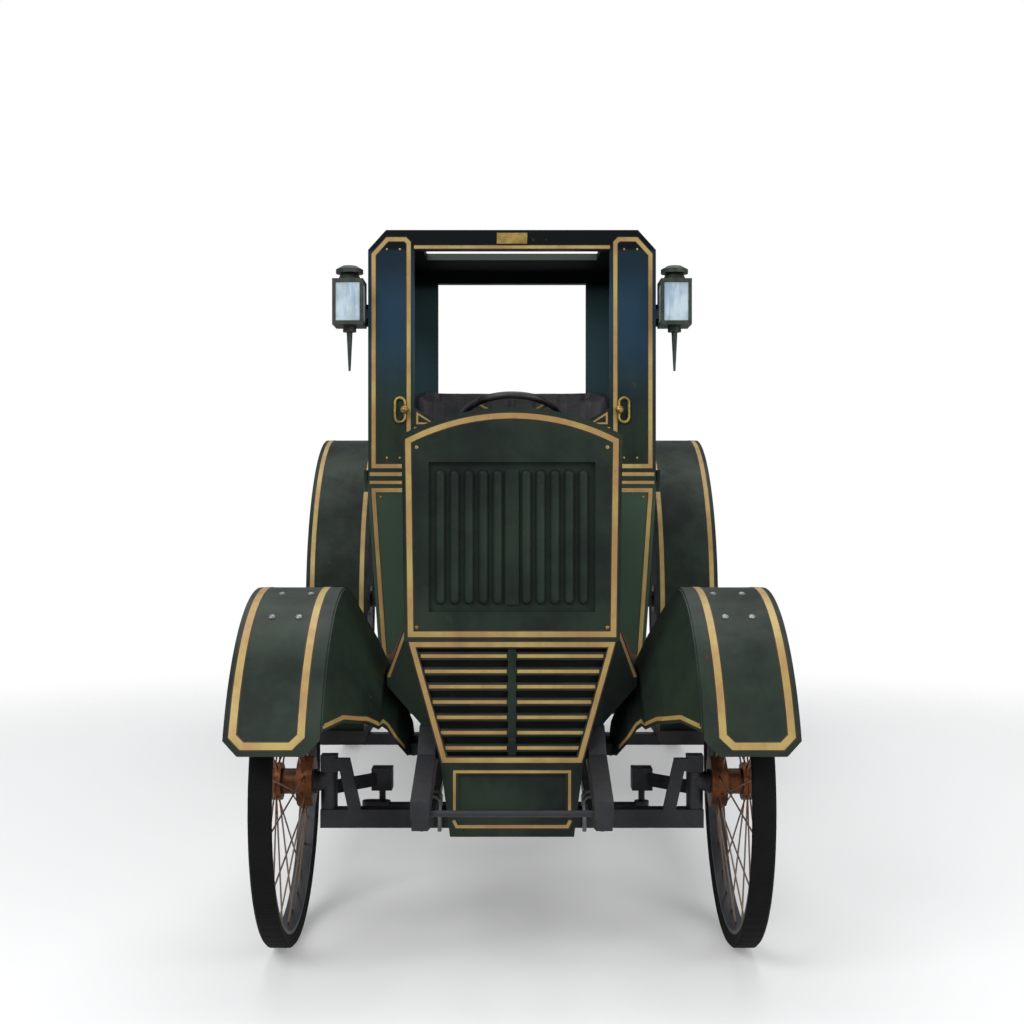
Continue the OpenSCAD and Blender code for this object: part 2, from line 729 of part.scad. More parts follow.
module lamp_glass() color(pane) car() at_lamp() difference() {
  box([3, 3, lamp_plate], [lamp_w - 3, lamp_d - 3, lamp_h - lamp_plate]);
  box([6, 6, lamp_plate - 1], [lamp_w - 6, lamp_d - 6, lamp_h]);
  for (x = [0, lamp_w - lamp_post], s = [0, lamp_d - lamp_post])
    translate([x - seat_gap, s - seat_gap, 0])
      cube([lamp_post + 2 * seat_gap, lamp_post + 2 * seat_gap, lamp_h]);
}

module brass_fittings() color(brass) car() {
  // Blank plate over the windscreen
  box([-55, cab_s - 4, roof_z - 50], [55, cab_s, roof_z - 11]);
  // Latches of the windscreen
  pair() translate([screen_half + latch_in, cab_s, latch_z]) rotate([90, 0, 0]) {
    cylinder(h = 14, r = 14, $fn = 32);
    cylinder(h = 24, r = 7, $fn = 32);
    translate([0, 0, 28]) sphere(r = knob_r, $fn = 32);
    // Link with two straight sides and round ends
    translate([link_r, 0, 7]) for (turn = [0, 180]) rotate([0, 0, turn]) {
      translate([0, link_half, 0]) rotate_extrude(angle = 180, $fn = 32) translate([link_r, 0])
        circle(r = link_bar, $fn = 16);
      translate([link_r, -link_half, 0]) rotate([-90, 0, 0]) cylinder(h = 2 * link_half, r = link_bar, $fn = 16);
    }
  }
}

module steering_column() color(iron) car() {
  on_column() {
    translate([0, 0, -column_len - 25]) cylinder(h = column_len, r = column_r);
    translate([0, 0, -30]) cylinder(h = 50, r = column_pin_r);
  }
  box([-55, cab_s - 100, 770], [55, cab_s, 890]);
}

module steering_wheel() color(iron) car() on_column() difference() {
  union() {
    rotate_extrude() translate([wheel_r, 0]) circle(r = wheel_rim_r, $fn = 20);
    translate([0, 0, face_gap - 25]) cylinder(h = 45 - face_gap, r = 28);
    for (a = [0:90:270]) rotate([0, 0, a + 45]) translate([15, 0, 0]) rotate([0, 90, 0])
      cylinder(h = wheel_r - 15, r = 7);
  }
  translate([0, 0, -40]) cylinder(h = 80, r = column_pin_r + run_gap);
}

module knuckle(side) on(side) difference() {
  union() {
    translate([pin_x, 0, axle_top + face_gap])
      cylinder(h = boss_low - axle_top - 2 * face_gap, r = boss_half + 1);
    translate([0, 0, front_z]) {
      axle_bar(pin_x, hub_in - face_gap, 23);
      axle_bar(hub_in - 7, hub_in - face_gap, 28);
      axle_bar(pin_x, front_track_half + 34, spindle_r);
    }
    translate([pin_x, 0, arm_low + arm_h / 2]) rotate([0, 0, atan2(arm_s, arm_x - pin_x)])
      translate([0, -8, -15]) cube([norm([arm_s, arm_x - pin_x]), 16, 30]);
    box([arm_x - 25, arm_s - 25, arm_low], [arm_x + 25, arm_s + 25, arm_low + arm_h]);
    translate([arm_x, arm_s, rod_z - 16]) cylinder(h = arm_low - rod_z + 20, r = ball_r);
  }
  translate([pin_x, 0, axle_low]) cylinder(h = 2 * front_z, r = pin_r + run_gap);
}

module knuckle_left() color(iron) car() knuckle(1);
module knuckle_right() color(iron) car() knuckle(-1);

// The rod turns on the left arm; its right end is a long eye, so that the arms may swing unlike
module track_rod() color(iron) car() translate([0, arm_s, rod_z]) difference() {
  union() {
    axle_bar(10 - arm_x, arm_x - 10, rod_r);
    translate([arm_x, 0, -13]) cylinder(h = 26, r = eye_r);
    for (x = [0, slot_run]) translate([-arm_x - x, 0, -13]) cylinder(h = 26, r = eye_r + 2);
    box([-arm_x - slot_run, -eye_r - 2, -13], [-arm_x, eye_r + 2, 13]);
  }
  translate([arm_x, 0, -20]) cylinder(h = 40, r = ball_r + run_gap);
  for (x = [0, slot_run]) translate([-arm_x - x, 0, -20]) cylinder(h = 40, r = ball_r + 4);
  box([-arm_x - slot_run, -ball_r - 4, -20], [-arm_x, ball_r + 4, 20]);
}

// Ring of a tyre about its own axis, with softened edges
module tyre(r, w, deep) rotate([0, 90, 0]) rotate_extrude($fn = 96) polygon([
  [r - deep, 6 - w / 2], [r - 5, -w / 2], [r, 5 - w / 2], [r, w / 2 - 5], [r - 5, w / 2], [r - deep, w / 2 - 6]]);

// Wire wheel about its own axis; hub is a list of [from, to, radius] rings
module wire_wheel(rim_r, rim_w, hub, bore, depth, spokes, spoke_r) rotate([0, 90, 0]) {
  rotate_extrude($fn = 96) translate([rim_r - rim_t, -rim_w / 2]) square([rim_t, rim_w]);
  difference() {
    for (ring = hub) translate([0, 0, ring[0]]) cylinder(h = ring[1] - ring[0], r = ring[2]);
    translate([0, 0, hub[0][0] - 1]) cylinder(h = depth - hub[0][0] + 1, r = bore + run_gap);
  }
  // Alternate spokes run to the inner and the outer flange, on either face, leaning either way
  for (k = [0:spokes - 1]) {
    a = k * 360 / spokes;
    flange = hub[k % 2 == 0 ? 0 : 2];
    way = k % 4 < 2 ? 1 : -1;
    b = a + way * spoke_turn;
    foot = flange[2] - 6;
    bar([foot * cos(b), foot * sin(b), (flange[0] + flange[1]) / 2 + way * (spoke_r + 0.5)],
      [(rim_r - rim_t / 2) * cos(a), (rim_r - rim_t / 2) * sin(a), 0], spoke_r);
  }
}

module front_wheel(side) on(side) translate([front_track_half, 0, front_z])
  wire_wheel(front_z - front_tyre_t, front_tyre_w - 12, front_hub, spindle_r, 36, front_spokes, 2);
module rear_wheel(side) on(side) translate([rear_track_half, wheelbase, rear_z])
  wire_wheel(rear_z - rear_tyre_t, rear_tyre_w - 14, rear_hub, rear_spindle_r, 47, rear_spokes, 3);
module front_tyre(side) on(side) translate([front_track_half, 0, front_z])
  tyre(front_z, front_tyre_w, front_tyre_t - seat_gap);
module rear_tyre(side) on(side) translate([rear_track_half, wheelbase, rear_z])
  tyre(rear_z, rear_tyre_w, rear_tyre_t - seat_gap);

module front_wheel_left() color(copper) car() front_wheel(1);
module front_wheel_right() color(copper) car() front_wheel(-1);
module rear_wheel_left() color(copper) car() rear_wheel(1);
module rear_wheel_right() color(copper) car() rear_wheel(-1);
module front_tyre_left() color(rubber) car() front_tyre(1);
module front_tyre_right() color(rubber) car() front_tyre(-1);
module rear_tyre_left() color(rubber) car() rear_tyre(1);
module rear_tyre_right() color(rubber) car() rear_tyre(-1);

frame();
cross_members();
outriggers();
front_springs();
rear_springs();
front_axle();
rear_axle();
driveline();
engine();
radiator();
lower_grille();
sump_tray();
bonnet_sills();
scuttle();
cab_front();
cab_side_left();
cab_side_right();
cab_rear();
cab_roof();
cab_floor();
seat_cushion();
seat_back();
boot();
front_fender_left();
front_fender_right();
rear_fender_left();
rear_fender_right();
running_boards();
lamps();
lamp_glass();
brass_fittings();
steering_column();
steering_wheel();
knuckle_left();
knuckle_right();
track_rod();
front_tyre_left();
front_tyre_right();
front_wheel_left();
front_wheel_right();
rear_tyre_left();
rear_tyre_right();
rear_wheel_left();
rear_wheel_right();
door_left();
door_right();
bonnet_left();
bonnet_right();
boot_lid();
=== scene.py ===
"""Dresses the vintage coupe: coach paint, gold lining, leather, brass, wire wheels and its stage."""

import json
import math

import bmesh
import bpy
import numpy as np
from bpy.props import FloatProperty, FloatVectorProperty, IntProperty, PointerProperty
from bpy.types import NodeSocket, Operator, Panel, PropertyGroup
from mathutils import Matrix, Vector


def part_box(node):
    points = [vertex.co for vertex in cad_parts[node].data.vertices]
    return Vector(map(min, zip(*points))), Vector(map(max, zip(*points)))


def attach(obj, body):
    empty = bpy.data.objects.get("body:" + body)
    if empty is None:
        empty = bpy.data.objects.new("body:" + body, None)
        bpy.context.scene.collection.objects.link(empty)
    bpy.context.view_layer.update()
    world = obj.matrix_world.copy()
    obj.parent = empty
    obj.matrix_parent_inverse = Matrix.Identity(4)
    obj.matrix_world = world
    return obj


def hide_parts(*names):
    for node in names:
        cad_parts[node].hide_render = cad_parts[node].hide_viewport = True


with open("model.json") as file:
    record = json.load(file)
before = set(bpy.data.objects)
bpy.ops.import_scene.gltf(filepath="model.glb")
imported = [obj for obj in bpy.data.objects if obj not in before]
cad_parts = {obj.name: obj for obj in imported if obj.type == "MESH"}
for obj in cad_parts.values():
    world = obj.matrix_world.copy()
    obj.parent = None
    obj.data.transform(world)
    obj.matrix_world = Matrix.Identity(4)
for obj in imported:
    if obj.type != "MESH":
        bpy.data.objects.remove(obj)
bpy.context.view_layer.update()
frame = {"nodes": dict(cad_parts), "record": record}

bl_info = {
    "name": "Vintage coupe dressing",
    "version": (1, 0, 0),
    "blender": (4, 5, 0),
    "location": "3D View > Sidebar > Coupe",
    "description": "Paint, gold lining, leather and fittings for a vintage coupe",
    "category": "Object",
}

JOINTS = {j["name"]: j for j in frame["record"]["behaviour"]["joints"]}
FRONT_Y, FRONT_Z = JOINTS["front_left_spin"]["pos_m"][1:]
REAR_Y, REAR_Z = JOINTS["rear_left_spin"]["pos_m"][1:]
SLOTS = {s["node"]: s["material_slot"] for s in frame["record"]["subparts"]}
SIDES = (("left", 1.0), ("right", -1.0))
FACING = {"front": (0, -1, 0), "back": (0, 1, 0), "left": (1, 0, 0), "right": (-1, 0, 0), "up": (0, 0, 1)}


def linear(hex_colour):
    """Turns a six digit screen colour into the linear light values that shaders take."""
    c = np.array([int(hex_colour[i : i + 2], 16) for i in (0, 2, 4)]) / 255.0
    return tuple(float(x) for x in np.where(c <= 0.04045, c / 12.92, ((c + 0.055) / 1.055) ** 2.4))


def colour(name, what, value):
    return FloatVectorProperty(name=name, description=what, subtype="COLOR", size=3, min=0, max=1,
                               default=linear(value))


def length(name, what, value):
    return FloatProperty(name=name, description=what, subtype="DISTANCE", unit="LENGTH", default=value, min=0)


class CoupeFinish(PropertyGroup):
    green: colour("Coach green", "Main body colour", "28352A")
    deep_green: colour("Deep green", "Darker, older patches of the body colour", "161E1B")
    # A painted reflection: the cool blue that the upper cab panels show, laid into their colour
    slate: colour("Slate bloom", "Cool bloom on the upper cab panels", "233F54")
    # Painted shade: the cab's inside gets this dark colour in place of the shade that falls there
    trim: colour("Cab trim", "Lining inside the cab", "31474A")
    gold: colour("Gold lining", "Colour of the painted lines", "A68350")
    pale_gold: colour("Pale gold", "Fresher stretches of the lines", "B7A25E")
    rust: colour("Rust", "Colour of rust and bare edges", "6B3A2A")
    iron: colour("Chassis black", "Paint on the chassis", "24252A")
    rubber: colour("Tyre rubber", "Colour of the tyres", "0E0E0F")
    copper: colour("Hub copper", "Colour of the hubs", "764320")
    spoke: colour("Spokes", "Colour of the wire", "7A6859")
    hide: colour("Seat hide", "Colour of the leather", "2E2C30")
    brass: colour("Brass", "Colour of the brass fittings", "B79A55")
    pane: colour("Lamp pane", "Colour of the lamp glass", "D2E4EE")
    mat: colour("Board mat", "Colour of the running board mats", "343434")


class CoupeSizes(PropertyGroup):
    line_width: length("Line width", "Width of the main gold lines", 0.0145)
    thin_line: length("Thin line", "Width of the lines on slats", 0.0075)
    line_rise: length("Line rise", "How far a line stands proud of the paint", 0.0008)
    line_edge: length("Line edge", "Width of the dark border beside a line", 0.0028)
    rivet: length("Rivet", "Radius of a rivet head", 0.0045)
    bolt: length("Bolt", "Radius of a mudguard bolt head", 0.0085)
    pleat: length("Pleat", "Pitch of the sewn channels in the seat", 0.1)
    louvres: IntProperty(name="Louvres", description="Louvres in each bonnet side", default=16, min=1, max=40)


def sizes():
    return bpy.context.scene.coupe_sizes


def tone(name, share=1.0):
    """One of the finish's colours, darker or lighter by a share."""
    return tuple(share * c for c in getattr(bpy.context.scene.coupe_finish, name))


# The car's main lines, in metres; stations run back from the front axle


def at_station(s):
    return s + FRONT_Y


NOSE = {"front": -0.2, "half": 0.248, "low": 0.732, "shoulder": 1.194, "arch_r": 0.527, "arch_mid": 0.729,
        "lean": 0.013, "line": 0.0125, "line_inset": 0.015, "arch_inset": 0.019, "rivet_x": 0.214,
        "rivet_z": (0.762, 1.166), "rib_half": 0.164, "rib_mid": 0.963, "rib_reach": 0.142, "rib_fade": 0.012,
        "rib_sunk": (0.004, 0.0125)}
GRILLE = {"low": 0.457, "half_low": 0.16, "half_top": 0.232, "edge": 0.016, "line": 0.011, "slats": 7,
          "slat_front": -0.194, "slat_mid": 0.012, "slat_gap": 0.002, "core": -0.178, "core_t": 0.003}
SUMP = {"half": 0.129, "low": 0.342, "top": 0.439, "line": 0.006, "lip": 0.316, "lip_half": 0.124, "lip_out": 0.131,
        "lip_rise": 0.014, "lip_line": 0.007}
SILL = {"out": 0.29, "out_z": 0.64, "top_x": 0.2424, "top_z": 0.7595, "front": -0.09, "back": 1.3, "up": 0.12,
        "end": 0.004, "line": 0.007, "front_line": 0.006, "front_run": ((0.2444, 0.7515), (0.286, 0.638))}
CAB = {"front": 1.74, "back": 2.54, "half": 0.521, "belt": 1.085, "skirt": 0.485, "lean": 0.041, "screen": 0.355,
       "screen_low": 1.354, "header": 1.971, "hatch": 0.335, "hatch_back": 2.206, "hatch_z": 2.0285, "hatch_t": 0.025}
# The cab's upper panels: inner line, lower line and half length of the header line, on each wall
PANELS = {"front": (0.374, 1.187, 0.355), "back": (0.334, 1.232, 0.308)}
PANEL = {"edge": 0.02, "top": 2.008, "cut": 0.05, "rivet_up": 0.03, "rivet_top": 1.972, "rivet_in": 0.032,
         "rivet_out": 0.068, "header_up": 0.009, "header_line": 0.011, "sill_down": 0.03, "sill_line": 0.008}
# The cab's lower front panels and the bands of the belt above them
APRON = {"in": 0.272, "top": 1.1, "foot": 0.493, "in_foot": 0.6, "bands": ((1.158, 0.013), (1.128, 0.011)),
         "band_in": 0.256, "band_edge": 0.006, "rivets": ((0.295, 1.075), (0.475, 1.075)), "rubbed_z": 0.5,
         "rubbed_edge": 0.007, "rubbed_run": ((0.43, 0.5), (0.385, 0.6)), "rubbed_line": 0.013}
GUSSET = {"in": 0.012, "rise": 0.024, "run": 0.068, "line": 0.006}
POST = {"front": 2.446, "back": 2.524, "low": 1.24, "top": 1.93, "pillar_in": 0.02, "pillar_low": 1.19, "line": 0.009}
DOOR = {"front": 1.82, "low": 0.56, "cut_r": 0.77, "window": (1.87, 2.37, 1.25, 1.85), "around": 0.024, "line": 0.011,
        "inset": 0.03, "low_inset": 0.035, "top_inset": 0.02}
BONNET = {"front": -0.07, "back": 1.28, "low": 0.782, "top": 1.168, "line": 0.008}
BOOT = {"half": 0.5, "back": 3.42, "line_half": 0.468, "line_z": (0.925, 1.122), "flank_s": (2.572, 3.326, 3.39),
        "flank_z": (0.812, 0.91, 1.118), "flank_line": 0.011, "lid_top": 1.172, "lid_half": 0.47,
        "lid_s": (2.65, 3.394)}
GUARD = {"r": 0.461, "in": 0.4, "out": 0.602, "rise": 17.0, "end": 171.5, "cut": 0.021, "inset_in": 0.039,
         "inset_out": 0.02, "inset_tip": 0.021, "line": 0.0155, "bolts": ((62, (0.475, 0.535)), (78, (0.465, 0.532)))}
REAR_GUARD = {"r": 0.706, "in": 0.572, "out": 0.816, "rise": 17.0, "foot": -15.0, "inset": 0.024, "line": 0.017}
VALANCE = {"x": (0.23, 0.24, 0.264, 0.294, 0.296, 0.33, 0.397), "r": (0.04, 0.146, 0.2, 0.232, 0.279, 0.348, 0.458),
           "edge_x": (0.246, 0.283, 0.318, 0.361, 0.396), "edge_z": (0.47, 0.527, 0.556, 0.571, 0.561), "up": 0.011,
           "line": 0.009}
BOARD = {"top": 0.43, "in": 0.4, "out": 0.604, "front": 0.5, "bend": 1.5, "back": 2.22, "in_back": 0.54,
         "out_back": 0.816, "inset": 0.012, "ribs": 12, "rib_span": (0.06, 0.94), "rib": (0.007, 0.003),
         "edge": (0.012, 0.004)}
LOUVRE = {"first": 0.1, "last": 1.12, "low": 0.83, "top": 1.12, "lift": 0.015, "sink": 0.0006, "reach": 0.032,
          "gap_z": (0.845, 1.105), "gaps": ((-0.003, 0.005), (0.0375, 0.009)), "gap_rise": 0.0005}
# Turned profiles are (radius, height over the panel)
HANDLE = {"s": 2.36, "z": 1.165, "grip_out": 0.029, "grip": (-0.052, 0.012), "grip_r": (0.0055, 0.0075),
          "stem": ((0.019, -0.001), (0.019, 0.003), (0.009, 0.006), (0.007, 0.03), (0.004, 0.036))}
CATCH = {"s": (0.2, 1.02), "z": 0.802, "wall_z": 0.8,
         "knob": ((0.016, -0.001), (0.016, 0.004), (0.006, 0.007), (0.006, 0.017), (0.011, 0.02), (0.006, 0.026))}
CLIP = {"x": 0.192, "s": (-0.03, 0.03), "half": 0.021, "rise": 0.006, "leg": 0.075, "r": 0.005, "below_axle": 0.038}
KICK = {"x": (0.395, 0.47), "s": (1.742, 1.752), "z": (0.431, 0.486)}
PAD = {"inset": 0.012, "round": 0.024, "cell": 0.008, "swell": 0.024, "lean": 0.015, "gap": 0.0005, "channel": 0.009,
       "pressure": 4.0, "frames": 20}
# Each axle's place (y, z) and the radii of its hubs, of its wires' ends and of its tyres
WHEELS = {"front": (FRONT_Y, FRONT_Z, 0.08, 0.335, 0.38), "rear": (REAR_Y, REAR_Z, 0.1, 0.575, 0.633)}
# The steering wheel's rim starts at this radius
STEERING_RIM = 0.178
# Where the cab's paint changes with the height: from, to, share below, share above, colour and its strength. The
# first row lightens the lower panels as painted light, the second lays a painted sky reflection on the upper panels,
# and the last two darken the paint towards the roof
CAB_TONES = ((1.05, 1.16, 0.6, 0.0, "green", 3.0), (1.32, 1.72, 0.0, 0.85, "slate", 1.0),
             (1.76, 1.94, 0.0, 0.55, "deep_green", 0.3), (1.962, 1.978, 0.0, 0.95, "deep_green", 0.2))
# Heights over which the painted shade inside the cab darkens towards the roof
CEILING = (1.93, 1.975)
CAMERA = {"ahead": 3.352, "z": 1.021, "half_angle": 20.0, "sensor": 36.0}
FLOOR = {"half": 30.0, "near": 2.0, "far": 4.6, "strength": 0.75}
LIGHTS = (("Key light", (-3.6, -6.0, 5.2), (0, -0.6, 0.9), 3.6, 250.0),
          ("Fill light", (4.6, -5.4, 3.0), (0, -0.4, 0.9), 4.0, 150.0),
          ("Top light", (0.0, 0.6, 6.4), (0, 0.2, 0.8), 5.0, 190.0))


def cab_half(z):
    """Half width of the cab: level above the belt and leaning in below it."""
    z = np.asarray(z, float)
    return CAB["half"] - np.maximum(0, CAB["belt"] - z) * CAB["lean"] / (CAB["belt"] - CAB["skirt"])


def nose_half(z):
    """Half width of the nose and the bonnet: it leans in by a share of the way down from the shoulder."""
    return NOSE["half"] - (NOSE["shoulder"] - np.asarray(z, float)) * NOSE["lean"]


# Surfaces


def unit(vectors):
    return vectors / np.linalg.norm(vectors, axis=-1, keepdims=True)


def grid(points, wrap_u=False, wrap_v=False, cap=False):
    """A surface from a grid of points (u, v, 3): each cell becomes a four-sided face; cap closes both u ends."""
    nu, nv = points.shape[:2]
    i, j = np.meshgrid(np.arange(nu - (not wrap_u)), np.arange(nv - (not wrap_v)), indexing="ij")
    i2, j2 = (i + 1) % nu, (j + 1) % nv
    quads = np.stack([i * nv + j, i2 * nv + j, i2 * nv + j2, i * nv + j2], -1).reshape(-1, 4).tolist()
    if cap:
        quads += [list(range(nv))[::-1], [(nu - 1) * nv + k for k in range(nv)]]
    return points.reshape(-1, 3), quads


def joined(parts):
    """Puts surfaces one after the other, with each one's faces counted on from the points before it."""
    verts, faces, at = [], [], 0
    for v, f in parts:
        verts.append(np.asarray(v, float))
        faces += [[k + at for k in q] for q in f]
        at += len(v)
    return np.concatenate(verts), faces


def strip(path, normal, width, rise=None, closed=False, sink=0.0004):
    """A flat band along a path. Its edges lie half a width to each side along normal x tangent, drawn out by one
    over the cosine of the half angle at a corner; it stands proud of the surface by rise and sinks in a little."""
    p = np.asarray(path, float)
    n = np.broadcast_to(np.asarray(normal, float), p.shape)
    rise = sizes().line_rise if rise is None else rise
    d = np.roll(p, -1, 0) - p
    if not closed:
        d[-1] = d[-2]
    d = unit(d)
    back = np.roll(d, 1, 0)
    if not closed:
        back[0] = d[0]
    t = unit(d + back)
    reach = unit(np.cross(n, t)) * (width / 2) / np.clip((t * d).sum(1, keepdims=True), 0.4, 1)
    ring = np.stack([p - reach - n * sink, p + reach - n * sink, p + reach + n * rise, p - reach + n * rise], 1)
    return grid(ring, wrap_u=closed, wrap_v=True, cap=not closed)


def domes(centres, normals, radius, rise=0.5, turns=10, rings=4):
    """Round heads: over each centre a cap whose radius falls as the cosine and whose height grows as the sine."""
    c = np.atleast_2d(np.asarray(centres, float))
    n = unit(np.broadcast_to(np.asarray(normals, float), c.shape))
    side = unit(np.cross(n, np.where(np.abs(n[:, :1]) < 0.8, [[1.0, 0, 0]], [[0, 1.0, 0]])))
    up = np.cross(n, side)
    a = np.linspace(0, 2 * np.pi, turns, endpoint=False)
    e = np.linspace(-0.25, 0.5 * np.pi - 0.12, rings)
    out = np.cos(a)[:, None] * side[:, None, None] + np.sin(a)[:, None] * up[:, None, None]
    pts = (c[:, None, None] + radius * np.cos(e)[None, :, None, None] * out
           + rise * radius * np.sin(e)[None, :, None, None] * n[:, None, None])
    return joined([grid(head, wrap_v=True, cap=True) for head in pts])


def tube(path, radius, turns=10):
    """A round bar along a path: at each point a circle in the plane across the path, turned to stay level."""
    p = np.asarray(path, float)
    d = unit(np.gradient(p, axis=0))
    a = unit(np.cross(d, np.where(np.abs(d[:, 2:]) < 0.9, [[0, 0, 1.0]], [[0, 1.0, 0]])))
    b = np.cross(a, d)
    t = np.linspace(0, 2 * np.pi, turns, endpoint=False)[None, :, None]
    r = np.broadcast_to(np.asarray(radius, float), (len(p),))[:, None, None]
    return grid(p[:, None] + r * (np.cos(t) * a[:, None] + np.sin(t) * b[:, None]), wrap_v=True, cap=True)


def block(low, high, edge=0.002):
    """A box with its corners cut in plan: an eight-sided outline carried up through four heights, drawn in by the
    edge at the top and the bottom."""
    lo, hi = np.minimum(low, high), np.maximum(low, high)
    e = min(edge, (hi - lo).min() * 0.3)

    def outline(inset):
        x0, y0, x1, y1 = lo[0] + inset, lo[1] + inset, hi[0] - inset, hi[1] - inset
        return np.array([(x0 + e, y0), (x1 - e, y0), (x1, y0 + e), (x1, y1 - e), (x1 - e, y1), (x0 + e, y1),
                         (x0, y1 - e), (x0, y0 + e)])

    heights = ((lo[2], e), (lo[2] + e, 0), (hi[2] - e, 0), (hi[2], e))
    pts = np.stack([np.column_stack([outline(k), np.full(8, z)]) for z, k in heights])
    return grid(pts, wrap_v=True, cap=True)


def lathe(profile, axis_point, axis, turns=32):
    """A turned piece: a profile of (radius, along) swept once around an axis through a point."""
    prof = np.asarray(profile, float)
    n = unit(np.asarray(axis, float))
    side = unit(np.cross(n, (1.0, 0, 0) if abs(n[0]) < 0.8 else (0, 0, 1.0)))
    up = np.cross(n, side)
    a = np.linspace(0, 2 * np.pi, turns, endpoint=False)
    out = np.cos(a)[:, None] * side + np.sin(a)[:, None] * up
    pts = np.asarray(axis_point, float) + prof[:, None, :1] * out[None] + prof[:, None, 1:] * n
    return grid(pts, wrap_v=True, cap=True)


def piece(name, parts, body, material, smooth=False):
    """Joins surfaces into one piece that rides on a body, with its faces turned outwards."""
    verts, faces = joined(parts)
    mesh = bpy.data.meshes.new(name)
    mesh.from_pydata(verts.tolist(), [], faces)
    bm = bmesh.new()
    bm.from_mesh(mesh)
    bmesh.ops.recalc_face_normals(bm, faces=bm.faces)
    bm.to_mesh(mesh)
    bm.free()
    mesh.polygons.foreach_set("use_smooth", [smooth] * len(mesh.polygons))
    obj = bpy.data.objects.new(name, mesh)
    bpy.context.scene.collection.objects.link(obj)
    mesh.materials.append(material)
    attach(obj, body)
    return obj


def on_plane(points, facing, at):
    """Lays a drawing on an upright wall: (across, height) at a fixed depth. Front and back walls run along X, the
    sides along Y."""
    p = np.asarray(points, float)
    depth = np.full(len(p), at)
    cols = [p[:, 0], depth, p[:, 1]] if facing in ("front", "back") else [depth, p[:, 0], p[:, 1]]
    return np.column_stack(cols)


def on_flank(points, name, at):
    """Lays a drawing of (station, height) on the left or right wall."""
    return on_plane([(at_station(s), z) for s, z in points], name, at)


def corners(x0, x1, z0, z1):
    return [(x0, z0), (x1, z0), (x1, z1), (x0, z1)]


def nose_outline(inset, low):
    """The radiator's outline drawn in by an inset: upright sides and an arc of the arch, drawn in a little more,
    between its shoulders."""
    r = NOSE["arch_r"] - NOSE["arch_inset"]
    x = NOSE["half"] - inset
    a = np.linspace(math.asin(x / r), -math.asin(x / r), 25)
    arch = np.column_stack([r * np.sin(a), NOSE["arch_mid"] + r * np.cos(a)])
    foot = float(nose_half(low + inset)) - inset
    return np.concatenate([[(-foot, low + inset), (foot, low + inset)], arch])


def arc_over(r, y, z, x, start, stop, count):
    """Points over a wheel at one X: angle from straight ahead, rising over the top to the rear, with outward
    normals."""
    a = np.radians(np.linspace(start, stop, count))
    out = np.column_stack([np.zeros(count), -np.cos(a), np.sin(a)])
    return np.array([x, y, z]) + r * out, out


def line(path, normal, width, closed=False):
    """A gold line and the painted shadow band it lies on, as two bands."""
    edge = sizes().line_edge
    return (strip(path, normal, width, closed=closed),
            strip(path, normal, width + 2 * edge, sizes().line_rise * 0.5, closed))


def lines_piece(name, lines, body="chassis"):
    piece(name, [gold for gold, _ in lines], body, gold_paint())
    # The second piece is the painted shadow beside each gold line
    piece(name + "_border", [dark for _, dark in lines], body, shadow_band_paint())


def heads_piece(name, heads):
    piece(name, heads, "chassis", aged_brass())


# Finishes


class Brush:
    """A node tree with short ways to add to it; they give back sockets to link on."""

    def __init__(self, tree):
        self.tree = tree

    def fill(self, socket, value):
        if isinstance(value, NodeSocket):
            self.tree.links.new(value, socket)
        else:
            socket.default_value = value

    def add(self, kind, options=None, places=(), **inputs):
        """Adds a node and sets its options; places fills its inputs in order, the others go by name."""
        node = self.tree.nodes.new(kind)
        for key, value in (options or {}).items():
            setattr(node, key, value)
        for place, value in enumerate(places):
            self.fill(node.inputs[place], value)
        for key, value in inputs.items():
            self.fill(node.inputs[key.replace("_", " ")], value)
        return node

    def math(self, operation, a, b=0.0):
        return self.add("ShaderNodeMath", {"operation": operation}, (a, b)).outputs[0]

    def times(self, a, b):
        return self.math("MULTIPLY", a, b)

    def vector(self, operation, a, b=(0.0, 0.0, 0.0)):
        node = self.add("ShaderNodeVectorMath", {"operation": operation}, (a, b))
        return node.outputs["Value" if operation == "LENGTH" else "Vector"]

    def axes(self, vector):
        return self.add("ShaderNodeSeparateXYZ", None, (vector,)).outputs

    def place(self):
        return self.add("ShaderNodeTexCoord").outputs["Object"]

    def mapped(self, vector, **inputs):
        return self.add("ShaderNodeMapping", Vector=vector, **inputs).outputs[0]

    def span(self, value, low, high, to_low=0.0, to_high=1.0):
        """Maps low..high onto a new range with soft ends."""
        return self.add("ShaderNodeMapRange", {"interpolation_type": "SMOOTHSTEP"}, Value=value, From_Min=low,
                        From_Max=high, To_Min=to_low, To_Max=to_high).outputs[0]

    def blend(self, share, a, b):
        node = self.add("ShaderNodeMix", {"data_type": "RGBA"})
        for place, value in ((0, share), (6, a), (7, b)):
            self.fill(node.inputs[place], (*value, 1.0) if isinstance(value, tuple) else value)
        return node.outputs[2]

    def noise(self, place, scale, detail=4.0, rough=0.55):
        return self.add("ShaderNodeTexNoise", Vector=place, Scale=scale, Detail=detail, Roughness=rough).outputs[0]

    def bump(self, height, strength, distance):
        return self.add("ShaderNodeBump", Height=height, Strength=strength, Distance=distance).outputs[0]

    def group(self, name, **inputs):
        held = bpy.data.node_groups.get(name) or GROUPS[name]()
        return self.add("ShaderNodeGroup", {"node_tree": held}, **inputs).outputs

    def age(self, patch, grain=160.0):
        return self.group("Weathering", Patch_Scale=patch, Grain_Scale=grain)


def new_group(name, inputs, outputs):
    """Starts a node group with float inputs (name, default) and float outputs."""
    tree = bpy.data.node_groups.new(name, "ShaderNodeTree")
    for label, value in inputs:
        tree.interface.new_socket(label, in_out="INPUT", socket_type="NodeSocketFloat").default_value = value
    for label in outputs:
        tree.interface.new_socket(label, in_out="OUTPUT", socket_type="NodeSocketFloat")
    return Brush(tree), tree.nodes.new("NodeGroupInput").outputs, tree.nodes.new("NodeGroupOutput").inputs


